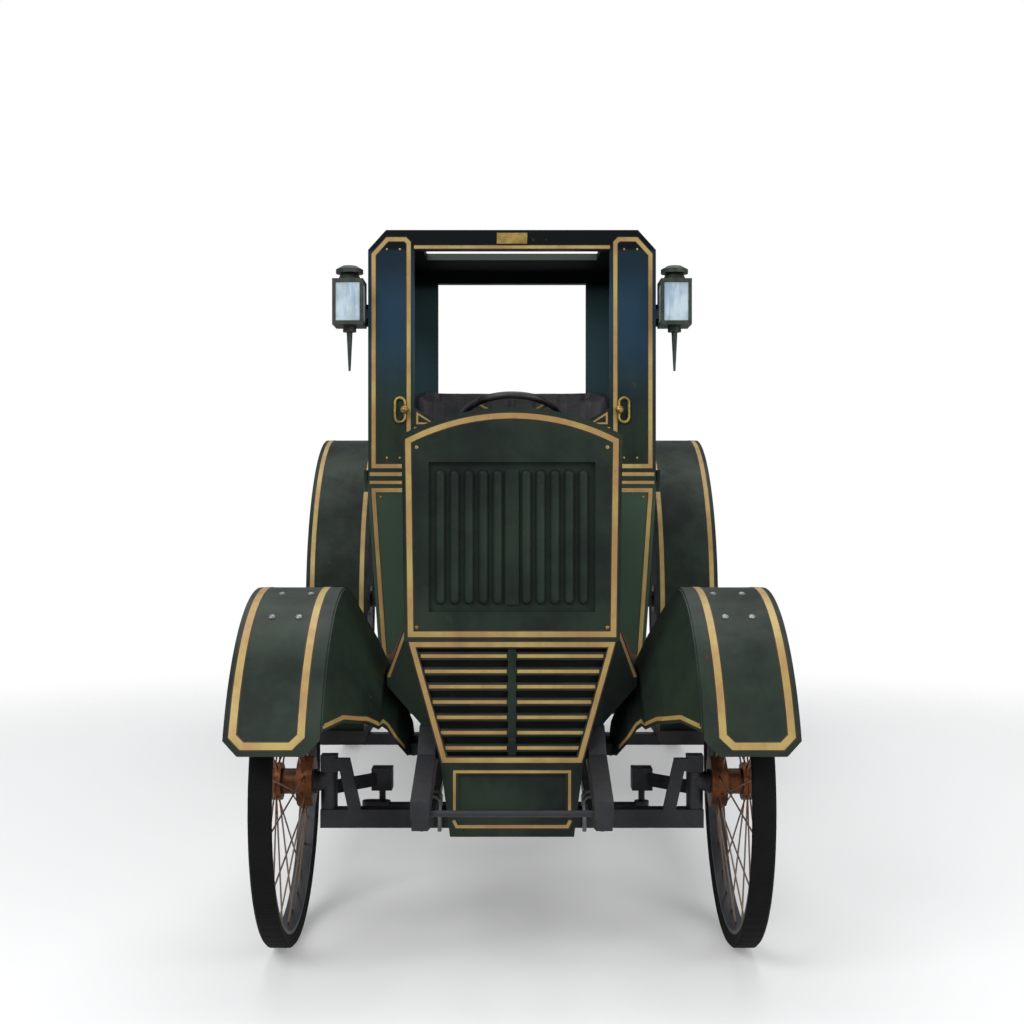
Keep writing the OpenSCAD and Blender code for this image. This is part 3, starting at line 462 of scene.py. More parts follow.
def make_weathering():
    """Masks of age: broad patches, rain streaks that run down, small scuffs and a fine grain."""
    b, given, result = new_group("Weathering", (("Patch Scale", 3.0), ("Grain Scale", 160.0)),
                                 ("Patch", "Streak", "Scuff", "Grain"))
    place = b.place()
    fall = b.mapped(place, Scale=(26.0, 26.0, 1.6))
    speck, where = b.noise(place, 34.0, 5.0, 0.7), b.noise(place, 6.0, 2.0)
    b.fill(result["Patch"], b.span(b.noise(place, given["Patch Scale"], 6.0, 0.62), 0.36, 0.66))
    b.fill(result["Streak"], b.span(b.noise(fall, 1.0), 0.48, 0.74))
    b.fill(result["Scuff"], b.times(b.span(speck, 0.62, 0.7), b.span(where, 0.5, 0.62)))
    b.fill(result["Grain"], b.noise(place, given["Grain Scale"], 3.0))
    return b.tree


def make_inside():
    """A mask that is one within the cab's inside, which takes the painted shade: where the largest of |place -
    middle| - half size is below zero."""
    b, _, result = new_group("Cab Inside", (), ("Inside",))
    floor, front = np.array(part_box("cab_floor"), float), np.array(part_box("cab_front"), float)
    wall, skin = np.ptp(front[:, 1]), 0.0005
    low = np.array([wall - front[1, 0], floor[0, 1], floor[0, 2]]) - skin
    high = np.array([front[1, 0] - wall, floor[1, 1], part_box("cab_roof")[0][2]]) + skin
    gap = b.vector("ABSOLUTE", b.vector("SUBTRACT", b.place(), tuple((low + high) / 2)))
    axes = b.axes(b.vector("SUBTRACT", gap, tuple((high - low) / 2)))
    most = b.math("MAXIMUM", b.math("MAXIMUM", axes[0], axes[1]), axes[2])
    b.fill(result["Inside"], b.math("LESS_THAN", most, 0.0))
    return b.tree


GROUPS = {"Weathering": make_weathering, "Cab Inside": make_inside}


def surface(name, shade):
    """A material with one Principled shader, whose inputs shade(brush) gives by name; made once and then shared."""
    mat = bpy.data.materials.get(name)
    if mat is None:
        mat = bpy.data.materials.new(name)
        mat.use_nodes = True
        b = Brush(mat.node_tree)
        for key, value in shade(b).items():
            b.fill(mat.node_tree.nodes["Principled BSDF"].inputs[key], value)
    return mat


def worn(name, patch, fresh, old, rough, bump, over=(), metal=0.0, grain=160.0, rougher=0.0):
    """A finish that turns from fresh to old in patches and is rougher there, with more colours laid over by a share
    of its streaks or scuffs, and a fine grain of (strength, distance)."""

    def shade(b):
        age = b.age(patch, grain)
        tint = b.blend(age["Patch"], fresh, old)
        for mask, share, layer in over:
            tint = b.blend(b.times(age[mask], share), tint, layer)
        coarse = b.math("ADD", rough, b.times(age["Patch"], rougher)) if rougher else rough
        return {"Base Color": tint, "Roughness": coarse, "Metallic": metal, "Normal": b.bump(age["Grain"], *bump)}

    return surface(name, shade)


def coach_paint(kind="Coach"):
    """Dark green coach paint, older in patches, streaked and scuffed; on the cab it changes with the height, with
    painted light low down, a painted sky reflection higher up and painted shade inside, on the nose it has painted
    shade down between the ribs, on the grille's core it is almost black as painted shade, and on the hatch's edge it
    is pale as a painted highlight."""
    cab = kind == "Cab"

    def shade(b):
        age = b.age(3.4)
        place = b.axes(b.place())
        rough = b.math("ADD", 0.46, b.times(age["Patch"], 0.18))
        tint = b.blend(age["Patch"], tone("green"), tone("deep_green"))
        tint = b.blend(b.times(age["Streak"], 0.35), tint, tone("deep_green"))
        # On the cab: painted light on the lower panels, a painted sky reflection above them, and darker towards the
        # roof
        for low, high, below, above, name, strength in CAB_TONES if cab else ():
            tint = b.blend(b.span(place[2], low, high, below, above), tint, tone(name, strength))
        tint = b.blend(b.times(age["Scuff"], 0.55), tint, tone("rust"))
        if cab:
            # Painted shade inside the cab, darker still towards the roof
            inside = b.group("Cab Inside")["Inside"]
            tint = b.blend(inside, tint, b.blend(b.span(place[2], *CEILING), tone("trim"), tone("deep_green", 0.3)))
            rough = b.math("MAXIMUM", rough, b.times(inside, 0.85))
        elif kind == "Nose":
            # Painted shade down between the ribs
            tint = b.blend(rib_valley_shade(b, place), tint, tone("deep_green", 0.35))
        elif kind == "Core":
            # Almost black: painted shade in the grille's gaps
            tint = b.blend(0.8, tint, tone("deep_green", 0.15))
        elif kind == "Edge":
            # Pale: a painted highlight along the hatch's edge
            tint = b.blend(0.8, tint, tuple(0.055 + c for c in tone("green", 1.2)))
        return {"Base Color": tint, "Roughness": rough, "Specular IOR Level": 0.1 if cab else 0.18,
                "Coat Weight": 0.03, "Coat Roughness": 0.3, "Normal": b.bump(age["Grain"], 0.08, 0.001)}

    return surface(kind + " paint", shade)


def rib_valley_shade(b, place):
    """Painted shade between the nose's ribs: it grows with the depth behind the face and fades out around the ribbed
    field.
    """
    face = at_station(NOSE["front"])
    shallow, deep = NOSE["rib_sunk"]
    valley_shade = b.span(place[1], face + shallow, face + deep, 0.0, 0.36)
    off_mid = b.math("SUBTRACT", place[2], NOSE["rib_mid"])
    for off, reach in ((place[0], NOSE["rib_half"]), (off_mid, NOSE["rib_reach"])):
        valley_shade = b.times(valley_shade, b.span(b.math("ABSOLUTE", off), reach, reach + NOSE["rib_fade"], 1.0, 0.0))
    return valley_shade


def gold_paint():
    """Gold lining paint, brighter and duller in stretches, rubbed through in small spots."""
    return worn("Gold lining", 7.0, tone("gold"), tone("pale_gold"), 0.45, (0.1, 0.0006),
                (("Streak", 0.3, tone("gold", 0.5)), ("Scuff", 0.7, tone("green"))), 0.15)


def shadow_band_paint():
    """Brown black painted shadow beside the gold lines and in the louvres' gaps."""
    return worn("Line border", 12.0, tone("rust", 0.35), tone("deep_green", 0.4), 0.6, (0.1, 0.0006))


def rubbed_line():
    """Lining rubbed and rusted to brown and red."""
    return worn("Rubbed line", 60.0, tone("rust"), tone("copper", 0.6), 0.6, (0.15, 0.0006))


def chassis_black():
    """Black paint on iron with dust in patches and rust in the scuffs."""
    return worn("Chassis black", 9.0, tone("iron"), tone("iron", 0.5), 0.45, (0.15, 0.001),
                (("Scuff", 0.5, tone("rust")),), grain=220.0, rougher=0.2)


def pale_steel():
    """Bare steel bolt heads, dull in patches."""
    return worn("Pale steel", 40.0, (0.3, 0.32, 0.3), (0.16, 0.17, 0.16), 0.4, (0.08, 0.0006), metal=0.5)


def aged_brass():
    """Brass, dull and brown in patches."""
    return worn("Aged brass", 30.0, tone("brass"), tone("brass", 0.5), 0.36, (0.08, 0.0006), metal=0.6)


def lamp_iron():
    """Dark green japanned iron of the lamps, brown with rust in streaks."""
    return worn("Lamp iron", 26.0, tone("green", 1.3), tone("deep_green"), 0.48, (0.12, 0.0008),
                (("Streak", 0.5, tone("rust", 0.5)),))


def board_mat():
    """Ribbed rubber mat, grey with dust."""
    return worn("Board mat", 6.0, tone("mat"), tone("mat", 0.55), 0.75, (0.2, 0.001), grain=260.0)


def wire_wheel(axle):
    """Copper hub, brown wire and a black rim, told apart by the distance from the axle."""
    y, z, hub_r, rim_r, _ = WHEELS[axle]

    def shade(b):
        away = b.vector("LENGTH", b.mapped(b.place(), Location=(0.0, -y, -z), Scale=(0.0, 1.0, 1.0)))
        age = b.age(22.0)
        tint = b.blend(age["Patch"], tone("copper"), tone("copper", 0.3))
        for radius, name in ((hub_r, "spoke"), (rim_r, "iron")):
            tint = b.blend(b.math("GREATER_THAN", away, radius), tint, tone(name))
        return {"Base Color": tint, "Roughness": 0.42, "Metallic": b.times(b.math("LESS_THAN", away, rim_r), 0.55),
                "Normal": b.bump(age["Grain"], 0.12, 0.001)}

    return surface(axle.capitalize() + " wire wheel", shade)


def tyre_rubber(axle):
    """Dark rubber, dusty in patches; small blocks are moulded around the tread, as a wave of the angle about the
    axle."""
    y, z, _, _, tyre_r = WHEELS[axle]

    def shade(b):
        age = b.age(11.0, 320.0)
        _, ahead, up = b.axes(b.mapped(b.place(), Location=(0.0, -y, -z)))
        away = b.math("SQRT", b.math("ADD", b.times(ahead, ahead), b.times(up, up)))
        turn = b.times(b.math("ARCTAN2", ahead, up), round(tyre_r * 190.0))
        tread = b.times(b.span(b.math("SINE", turn), -0.5, 0.1), b.math("GREATER_THAN", away, tyre_r - 0.002))
        height = b.math("ADD", tread, b.times(age["Grain"], 0.15))
        return {"Base Color": b.blend(age["Patch"], tone("rubber", 0.75), tone("rubber", 1.25)), "Roughness": 0.8,
                "Specular IOR Level": 0.16, "Normal": b.bump(height, 0.35, 0.002)}

    return surface(axle.capitalize() + " tyre rubber", shade)


def black_hide():
    """Black leather: pebbled cells for grain, cracked and worn pale in patches."""

    def shade(b):
        cells = b.add("ShaderNodeTexVoronoi", Vector=b.place(), Scale=210.0).outputs["Distance"]
        age = b.age(8.0)
        tint = b.blend(age["Patch"], tone("hide"), tone("hide", 0.55))
        tint = b.blend(b.times(age["Streak"], 0.2), tint, tone("hide", 2.2))
        return {"Base Color": tint, "Roughness": b.math("ADD", 0.42, b.times(cells, 0.25)),
                "Normal": b.bump(cells, 0.3, 0.0012)}

    return surface("Black hide", shade)


def lamp_pane():
    """Old pale lamp glass over a cloudy ground, with faint slanting blue streaks as painted reflections."""

    def shade(b):
        place = b.place()
        slant = b.mapped(place, Rotation=(0.0, 0.6, 0.0), Scale=(55.0, 9.0, 9.0))
        streak = b.span(b.noise(slant, 1.0, 3.0, 0.6), 0.46, 0.68)
        tint = b.blend(b.span(b.noise(place, 18.0, 3.0), 0.35, 0.7), tone("pane"), tone("pane", 0.72))
        # The blue streaks are painted reflections
        tint = b.blend(b.times(streak, 0.5), tint, (0.22, 0.4, 0.62))
        return {"Base Color": tint, "Roughness": 0.15, "Alpha": 0.95, "Normal": b.bump(streak, 0.06, 0.001)}

    return surface("Lamp pane", shade)


def steering_grip():
    """Black rim and pale brass arms, told apart by the distance from the column's line."""
    joint = JOINTS["steering_wheel_turn"]

    def shade(b):
        shift = b.vector("SUBTRACT", b.place(), tuple(joint["pos_m"]))
        tilt = math.asin(joint["axis"][1])
        away = b.vector("LENGTH", b.mapped(shift, Rotation=(tilt, 0.0, 0.0), Scale=(1.0, 1.0, 0.0)))
        age = b.age(20.0)
        rim = b.blend(age["Patch"], tone("rubber", 0.5), tone("hide"))
        arm = b.blend(age["Patch"], tone("brass"), tone("pale_gold"))
        edge = b.math("GREATER_THAN", away, STEERING_RIM)
        return {"Base Color": b.blend(edge, arm, rim), "Roughness": 0.4,
                "Metallic": b.math("SUBTRACT", 0.5, b.times(edge, 0.5)), "Normal": b.bump(age["Grain"], 0.1, 0.0006)}

    return surface("Steering grip", shade)


# Steps


class CoupeStep(Operator):
    bl_options = {"REGISTER", "UNDO"}

    def execute(self, context):
        self.build()
        return {"FINISHED"}


class COUPE_OT_paint_shop(CoupeStep):
    """Gives every piece of the source its finish"""

    bl_idname = "coupe.paint_shop"
    bl_label = "Paint shop"

    def build(self):
        by_slot = {"body_paint": coach_paint(), "chassis_iron": chassis_black(), "seat_hide": black_hide(),
                   "brass": aged_brass(), "lamp_glass": lamp_pane(), "board": board_mat()}
        by_node = {"radiator": coach_paint("Nose"), "lamps": lamp_iron(), "steering_wheel": steering_grip()}
        cab = ("cab_front", "cab_side_left", "cab_side_right", "cab_rear", "cab_roof", "door_left", "door_right")
        by_node.update((node, coach_paint("Cab")) for node in cab)
        for axle in WHEELS:
            for side, _ in SIDES:
                by_node[axle + "_wheel_" + side] = wire_wheel(axle)
                by_node[axle + "_tyre_" + side] = tyre_rubber(axle)
        for node, obj in frame["nodes"].items():
            obj.data.materials.clear()
            obj.data.materials.append(by_node.get(node) or by_slot[SLOTS[node]])


class COUPE_OT_nose_lining(CoupeStep):
    """Lines the radiator, grille, sump and sills in gold"""

    bl_idname = "coupe.nose_lining"
    bl_label = "Nose lining"

    def build(self):
        self.lines = []
        self.rule(nose_outline(NOSE["line_inset"], NOSE["low"]), NOSE["line"], True)
        self.grille(GRILLE)
        self.sump(SUMP)
        lines_piece("nose_lines", self.lines)
        rivets = [(x, z) for x in (-NOSE["rivet_x"], NOSE["rivet_x"]) for z in NOSE["rivet_z"]]
        heads = domes(on_plane(rivets, "front", at_station(NOSE["front"])), FACING["front"], sizes().rivet)
        heads_piece("nose_rivets", [heads])
        self.lines = []
        self.sills(SILL)
        lines_piece("sill_lines", self.lines)

    def rule(self, path, width, closed=False, station=NOSE["front"]):
        self.lines.append(line(on_plane(path, "front", at_station(station)), FACING["front"], width, closed))

    def grille(self, g):
        mid = g["edge"] / 2
        low, top = g["low"] + mid, NOSE["low"] - mid
        around = [(mid - g["half_low"], low), (g["half_low"] - mid, low), (g["half_top"] - mid, top),
                  (mid - g["half_top"], top)]
        self.rule(around, g["line"], True)
        for k in range(1, g["slats"] + 1):
            share = k / (g["slats"] + 1)
            z = g["low"] + share * (NOSE["low"] - g["low"])
            end = g["half_low"] + share * (g["half_top"] - g["half_low"]) - g["edge"] - g["slat_gap"]
            for side in (1, -1):
                self.rule([(side * g["slat_mid"], z), (side * end, z)], sizes().thin_line, False, g["slat_front"])
        # A near black sheet behind the slats: painted shade seen through the grille's gaps
        core = np.stack([on_plane(around, "front", at_station(g["core"] + t)) for t in (0.0, g["core_t"])])
        piece("grille_core", [grid(core, wrap_v=True, cap=True)], "chassis", coach_paint("Core"))

    def sump(self, u):
        self.rule(corners(-u["half"], u["half"], u["low"], u["top"]), u["line"], True)
        half, out, high = u["lip_half"], u["lip_out"], u["lip"] + u["lip_rise"]
        self.rule([(-out, high), (-half, u["lip"]), (half, u["lip"]), (out, high)], u["lip_line"])

    def sills(self, s):
        """The sloping top carries a line a little way up from its outer edge, the front end one down its slope."""
        across, up = s["out"] - s["top_x"], s["top_z"] - s["out_z"]
        slope = unit(np.array([up, 0, across]))
        run_x, run_z = s["out"] - s["up"] * across, s["out_z"] + s["up"] * up
        for side in (1, -1):
            run = [(side * run_x, at_station(t), run_z) for t in (s["front"] + s["end"], s["back"] - s["end"])]
            self.lines.append(line(run, slope * (side, 1, 1), s["line"]))
            self.rule([(side * x, z) for x, z in s["front_run"]], s["front_line"], False, s["front"])


def wall_outline(x_in, x_out, low, top, cut=0.0):
    """A panel's outline on the cab: the outer line follows the wall's lean, the top corners are cut."""
    outer = float(cab_half(low)) - CAB["half"] + x_out
    path = [(x_in, low), (outer, low)]
    if low < CAB["belt"] < top:
        path.append((x_out, CAB["belt"]))
    return path + [(x_out, top - 1.1 * cut), (x_out - cut, top), (x_in + 0.25 * cut, top), (x_in, top - 0.25 * cut)]


class COUPE_OT_cab_lining(CoupeStep):
    """Lines the fixed panels of the cab in gold and rivets their corners"""

    bl_idname = "coupe.cab_lining"
    bl_label = "Cab lining"

    def build(self):
        self.lines, self.heads, self.feet = [], [], []
        for wall in PANELS:
            self.wall(wall, CAB, PANEL)
        sill = CAB["screen_low"] - PANEL["sill_down"]
        self.rule([(-CAB["screen"], sill), (CAB["screen"], sill)], PANEL["sill_line"])
        self.posts(CAB, POST)
        hatch = self.lay([(-CAB["hatch"], CAB["hatch_z"]), (CAB["hatch"], CAB["hatch_z"])], 1, "front", "hatch_back")
        # A pale band across the hatch's front: a painted highlight
        piece("hatch_edge", [strip(hatch, FACING["front"], CAB["hatch_t"])], "chassis",
              coach_paint("Edge"))
        lines_piece("cab_lines", self.lines)
        heads_piece("cab_rivets", self.heads)
        piece("foot_lines", self.feet, "chassis", rubbed_line())

    def lay(self, points, side, wall, station=None):
        return on_plane([(side * x, z) for x, z in points], wall, at_station(CAB[station or wall]))

    def rule(self, points, width, closed=False, side=1, wall="front"):
        self.lines.append(line(self.lay(points, side, wall), FACING[wall], width, closed))

    def rivet(self, points, side, wall="front"):
        self.heads.append(domes(self.lay(points, side, wall), FACING[wall], sizes().rivet))

    def wall(self, wall, c, p):
        inner, low, half = PANELS[wall]
        for side in (1, -1):
            outline = wall_outline(inner, c["half"] - p["edge"], low, p["top"], p["cut"])
            self.rule(outline, sizes().line_width, True, side, wall)
            for z in (low + p["rivet_up"], p["rivet_top"]):
                self.rivet([(inner + p["rivet_in"], z), (c["half"] - p["rivet_out"], z)], side, wall)
            if wall == "front":
                self.apron(side, c["half"] - p["edge"], APRON)
                self.gusset(side, c["screen"], c["screen_low"], GUSSET)
        top = c["header"] + p["header_up"]
        self.rule([(-half, top), (half, top)], p["header_line"], wall=wall)

    def apron(self, side, edge, a):
        """The lower front panel: two bands, an angled line that follows the wall's lean, and a rubbed line at the
        foot."""
        for z, width in a["bands"]:
            self.rule([(a["band_in"], z), (CAB["half"] - a["band_edge"], z)], width, side=side)
        outer = float(cab_half(a["rubbed_z"])) - PANEL["edge"]
        over = [(outer, a["foot"]), (edge, CAB["belt"]), (edge, a["top"]), (a["in"], a["top"]),
                (a["in"], a["in_foot"])]
        self.rule(over, sizes().line_width, side=side)
        foot = self.lay([(outer - a["rubbed_edge"], a["rubbed_z"]), *a["rubbed_run"]], side, "front")
        self.feet.append(strip(foot, FACING["front"], a["rubbed_line"]))
        self.rivet(a["rivets"], side)

    def gusset(self, side, x, z, g):
        """A small triangle in the lower corner of the windscreen."""
        corner = [(x - g["in"], z - g["in"]), (x - g["in"], z + g["rise"]), (x - g["run"], z - g["in"])]
        self.rule(corner, g["line"], True, side)

    def posts(self, c, p):
        for name, side in SIDES:
            post = corners(p["front"], p["back"], p["low"], p["top"])
            pillar = [(c["front"] + p["pillar_in"], z) for z in (p["pillar_low"], p["top"])]
            for path, closed in ((post, True), (pillar, False)):
                self.lines.append(line(on_flank(path, name, side * c["half"]), FACING[name], p["line"], closed))


class COUPE_OT_leaf_lining(CoupeStep):
    """Lines the doors, the bonnet halves and the boot with its lid"""

    bl_idname = "coupe.leaf_lining"
    bl_label = "Door, bonnet and boot lining"

    def build(self):
        for name, side in SIDES:
            self.door(name, side, DOOR)
            self.bonnet(name, side, BONNET)
        self.boot(BOOT)

    def door(self, name, side, d):
        """A frame around the window and, below the belt, a panel whose rear line runs on a circle about the rear
        axle: its station is the axle's less the root of radius squared less height squared."""
        c, m = CAB, d["around"]
        s0, s1, z0, z1 = d["window"]
        upper = on_flank(corners(s0 - m, s1 + m, z0 - m, z1 + m), name, side * c["half"])
        z = np.linspace(d["low"] + d["low_inset"], c["belt"] - d["top_inset"], 14)
        behind = REAR_Y - FRONT_Y - np.sqrt((d["cut_r"] + d["inset"]) ** 2 - (z - REAR_Z) ** 2)
        ahead = d["front"] + d["inset"]
        panel = np.concatenate([[(ahead, z[-1]), (ahead, z[0])], np.column_stack([behind, z])])
        lower = np.column_stack([side * cab_half(panel[:, 1]), at_station(panel[:, 0]), panel[:, 1]])
        tilt = unit(np.array([c["belt"] - c["skirt"], 0, -c["lean"]]))
        lines_piece("door_lines_" + name, [line(upper, FACING[name], d["line"], closed=True),
                    line(lower, tilt * (side, 1, 1), sizes().line_width, closed=True)], name + "_door")

    def bonnet(self, name, side, b):
        low, top = ([(side * float(nose_half(z)), at_station(s), z) for s in (b["front"], b["back"])]
                    for z in (b["low"], b["top"]))
        edges = [low, top, *(list(ends) for ends in zip(low, top))]
        lines_piece("bonnet_lines_" + name, [line(e, FACING[name], b["line"]) for e in edges], name + "_bonnet")

    def boot(self, b):
        half, wide = b["line_half"], sizes().line_width
        rear = on_plane(corners(-half, half, *b["line_z"]), "back", at_station(b["back"]))
        sides = [line(rear, FACING["back"], wide, closed=True)]
        (s0, s1, s2), (z0, z1, z2) = b["flank_s"], b["flank_z"]
        for name, side in SIDES:
            flank = on_flank([(s0, z0), (s1, z0), (s2, z1), (s2, z2), (s0, z2)], name, side * b["half"])
            sides.append(line(flank, FACING[name], b["flank_line"], closed=True))
        lines_piece("boot_lines", sides)
        lid = [(x, at_station(s), b["lid_top"]) for x, s in corners(-b["lid_half"], b["lid_half"], *b["lid_s"])]
        lines_piece("lid_lines", [line(lid, FACING["up"], wide, closed=True)], "boot_lid")


class COUPE_OT_guard_lining(CoupeStep):
    """Lines the mudguards, bolts the front pair and edges their valances"""

    bl_idname = "coupe.guard_lining"
    bl_label = "Mudguard lining"

    def build(self):
        stripes, bolts = [], []
        for side in (1, -1):
            stripes += [self.front(side, GUARD), self.rear(side, REAR_GUARD), self.valance_edge(side, VALANCE)]
            for turn, xs in GUARD["bolts"]:
                p, n = arc_over(GUARD["r"], FRONT_Y, FRONT_Z, 0.0, turn, turn, 2)
                p[:, 0] = side * np.array(xs)
                bolts.append(domes(p, n, sizes().bolt, 0.6, 12))
        lines_piece("guard_lines", stripes)
        piece("guard_bolts", bolts, "chassis", pale_steel())

    def front(self, side, g):
        """Along the inner edge to the tip, across it with cut corners, and back along the outer edge."""
        low_x, high_x = side * (g["in"] + g["inset_in"]), side * (g["out"] - g["inset_out"])
        lead = g["rise"] + math.degrees(g["inset_tip"] / g["r"])
        bend = lead + math.degrees(g["cut"] / g["r"])
        a, na = arc_over(g["r"], FRONT_Y, FRONT_Z, low_x, g["end"], bend, 60)
        b, nb = arc_over(g["r"], FRONT_Y, FRONT_Z, high_x, bend, g["end"], 60)
        across = np.linspace(low_x + side * g["cut"], high_x - side * g["cut"], 6)
        tip, nt = arc_over(g["r"], FRONT_Y, FRONT_Z, 0.0, lead, lead, len(across))
        tip[:, 0] = across
        return line(np.concatenate([a, tip, b]), np.concatenate([na, nt, nb]), g["line"])

    def rear(self, side, g):
        """Up along the inner edge, across the tail and down along the outer edge."""
        low_x, high_x = side * (g["in"] + g["inset"]), side * (g["out"] - g["inset"])
        end = 180 - g["rise"] - math.degrees(g["inset"] / g["r"])
        a, na = arc_over(g["r"], REAR_Y, REAR_Z, low_x, g["foot"], end, 80)
        b, nb = arc_over(g["r"], REAR_Y, REAR_Z, high_x, end, g["foot"], 80)
        return line(np.concatenate([a, b]), np.concatenate([na, nb]), g["line"])

    def valance_edge(self, side, v):
        """The valance is turned about the front axle: its radius runs along a profile over X. The line keeps a little
        above the lower edge, so its way ahead of the axle is the root of radius squared less height squared."""
        x = np.linspace(v["edge_x"][0], v["edge_x"][-1], 48)
        height = np.interp(x, v["edge_x"], v["edge_z"]) + v["up"] - FRONT_Z
        r = np.interp(x, v["x"], v["r"])
        steep = (np.interp(x + 1e-4, v["x"], v["r"]) - np.interp(x - 1e-4, v["x"], v["r"])) / 2e-4
        ahead = np.sqrt(np.maximum(r**2 - height**2, 1e-6))
        out = unit(np.column_stack([-steep * side, -ahead / r, height / r]))
        return line(np.column_stack([side * x, FRONT_Y - ahead, FRONT_Z + height]), out, v["line"])


class COUPE_OT_boards(CoupeStep):
    """Ribs the running board mats and edges them in brass"""

    bl_idname = "coupe.boards"
    bl_label = "Running boards"

    def build(self):
        ribs, edges = [], []
        for side in (1, -1):
            for share in np.linspace(*BOARD["rib_span"], BOARD["ribs"]):
                ribs.append(strip(self.along(share, side, BOARD), FACING["up"], *BOARD["rib"]))
            for share in (0.0, 1.0):
                edges.append(strip(self.along(share, side, BOARD), FACING["up"], *BOARD["edge"]))
        piece("board_ribs", ribs, "chassis", board_mat())
        piece("board_edges", edges, "chassis", aged_brass())

    def along(self, share, side, b):
        """A path down the board at a share of its width, which grows behind the bend."""
        inner = np.array([b["in"], b["in"], b["in_back"]]) + b["inset"]
        outer = np.array([b["out"], b["out"], b["out_back"]]) - b["inset"]
        s = np.array([b["front"], b["bend"], b["back"]])
        return np.column_stack([side * (inner + share * (outer - inner)), at_station(s), np.full(3, b["top"])])


class COUPE_OT_louvres(CoupeStep):
    """Presses a row of louvres into each half of the bonnet"""

    bl_idname = "coupe.louvres"
    bl_label = "Bonnet louvres"

    def build(self):
        stations = np.linspace(LOUVRE["first"], LOUVRE["last"], sizes().louvres)
        for name, side in SIDES:
            hoods, gaps = [self.hood(side, s, LOUVRE) for s in stations], []
            # Dark strips under each louvre's lip and along its front edge: painted shade in the gaps and creases
            for s in stations:
                for back, width in LOUVRE["gaps"]:
                    mouth = [(side * float(nose_half(z)), at_station(s + back), z) for z in LOUVRE["gap_z"]]
                    gaps.append(strip(mouth, FACING[name], width, LOUVRE["gap_rise"]))
            piece("louvres_" + name, hoods, name + "_bonnet", coach_paint(), smooth=True)
            piece("louvre_gaps_" + name, gaps, name + "_bonnet", shadow_band_paint())

    def hood(self, side, s, h):
        """A hood whose height over the panel grows as the sine of the way back from its front edge, ends in a
        straight lip, and fades to nothing at both ends as a flat topped curve."""
        z = np.linspace(h["low"], h["top"], 17)
        v = np.linspace(0, 1, 8)
        ends = np.sqrt(np.clip(1 - ((z - z.mean()) / (np.ptp(z) / 2)) ** 6, 0, 1))
        lift = h["lift"] * ends[:, None] * np.sin(0.5 * np.pi * v)[None]
        lift = np.concatenate([lift, np.zeros((len(z), 1))], 1) - h["sink"]
        x = side * (nose_half(z)[:, None] + lift)
        y = at_station(s + np.append(v, v[-1]) * h["reach"])
        return grid(np.stack(np.broadcast_arrays(x, y[None], z[:, None]), -1))


class COUPE_OT_fittings(CoupeStep):
    """Adds door handles, bonnet catches, spring clips and the plates under the cab front"""

    bl_idname = "coupe.fittings"
    bl_label = "Fittings"

    def build(self):
        for name, side in SIDES:
            n = np.array(FACING[name], float)
            piece("door_handle_" + name, self.handle(side, n, HANDLE), name + "_door", aged_brass(),
                  smooth=True)
            feet = [(side * float(nose_half(CATCH["wall_z"])), at_station(s), CATCH["z"]) for s in CATCH["s"]]
            piece("bonnet_catches_" + name, [lathe(CATCH["knob"], foot, n, 18) for foot in feet], name + "_bonnet",
                  aged_brass(), smooth=True)
        clips = [self.clip(side, s, CLIP) for side in (1, -1) for s in CLIP["s"]]
        piece("spring_clips", clips, "chassis", pale_steel(), smooth=True)
        ends = list(zip(KICK["x"], at_station(np.array(KICK["s"])), KICK["z"]))
        kick = [block(*(np.array(end) * (side, 1, 1) for end in ends)) for side in (1, -1)]
        piece("kick_plates", kick, "chassis", chassis_black())

    def handle(self, side, n, h):
        """A turned stem with a grip that waves as the cosine along the door and thickens towards the stem."""
        stem = np.array((side * CAB["half"], at_station(h["s"]), h["z"]))
        t = np.linspace(*h["grip"], 9)
        grip = stem + n * h["grip_out"] + np.column_stack([0 * t, t, 0.004 * np.cos(t * 40)])
        return [lathe(h["stem"], stem, n, 20), tube(grip, np.linspace(*h["grip_r"], 9), 10)]

    def clip(self, side, s, c):
        """A U bolt over a spring: straight legs joined by half a turn."""
        turn = np.linspace(0, np.pi, 9)
        top = FRONT_Z - c["below_axle"]
        arc = np.column_stack([side * (c["x"] + c["half"] * np.cos(turn)), np.full(9, at_station(s)),
                               top + c["rise"] * np.sin(turn)])
        leg = (0, 0, c["leg"])
        return tube(np.concatenate([[arc[0] - leg], arc, [arc[-1] - leg]]), c["r"], 8)


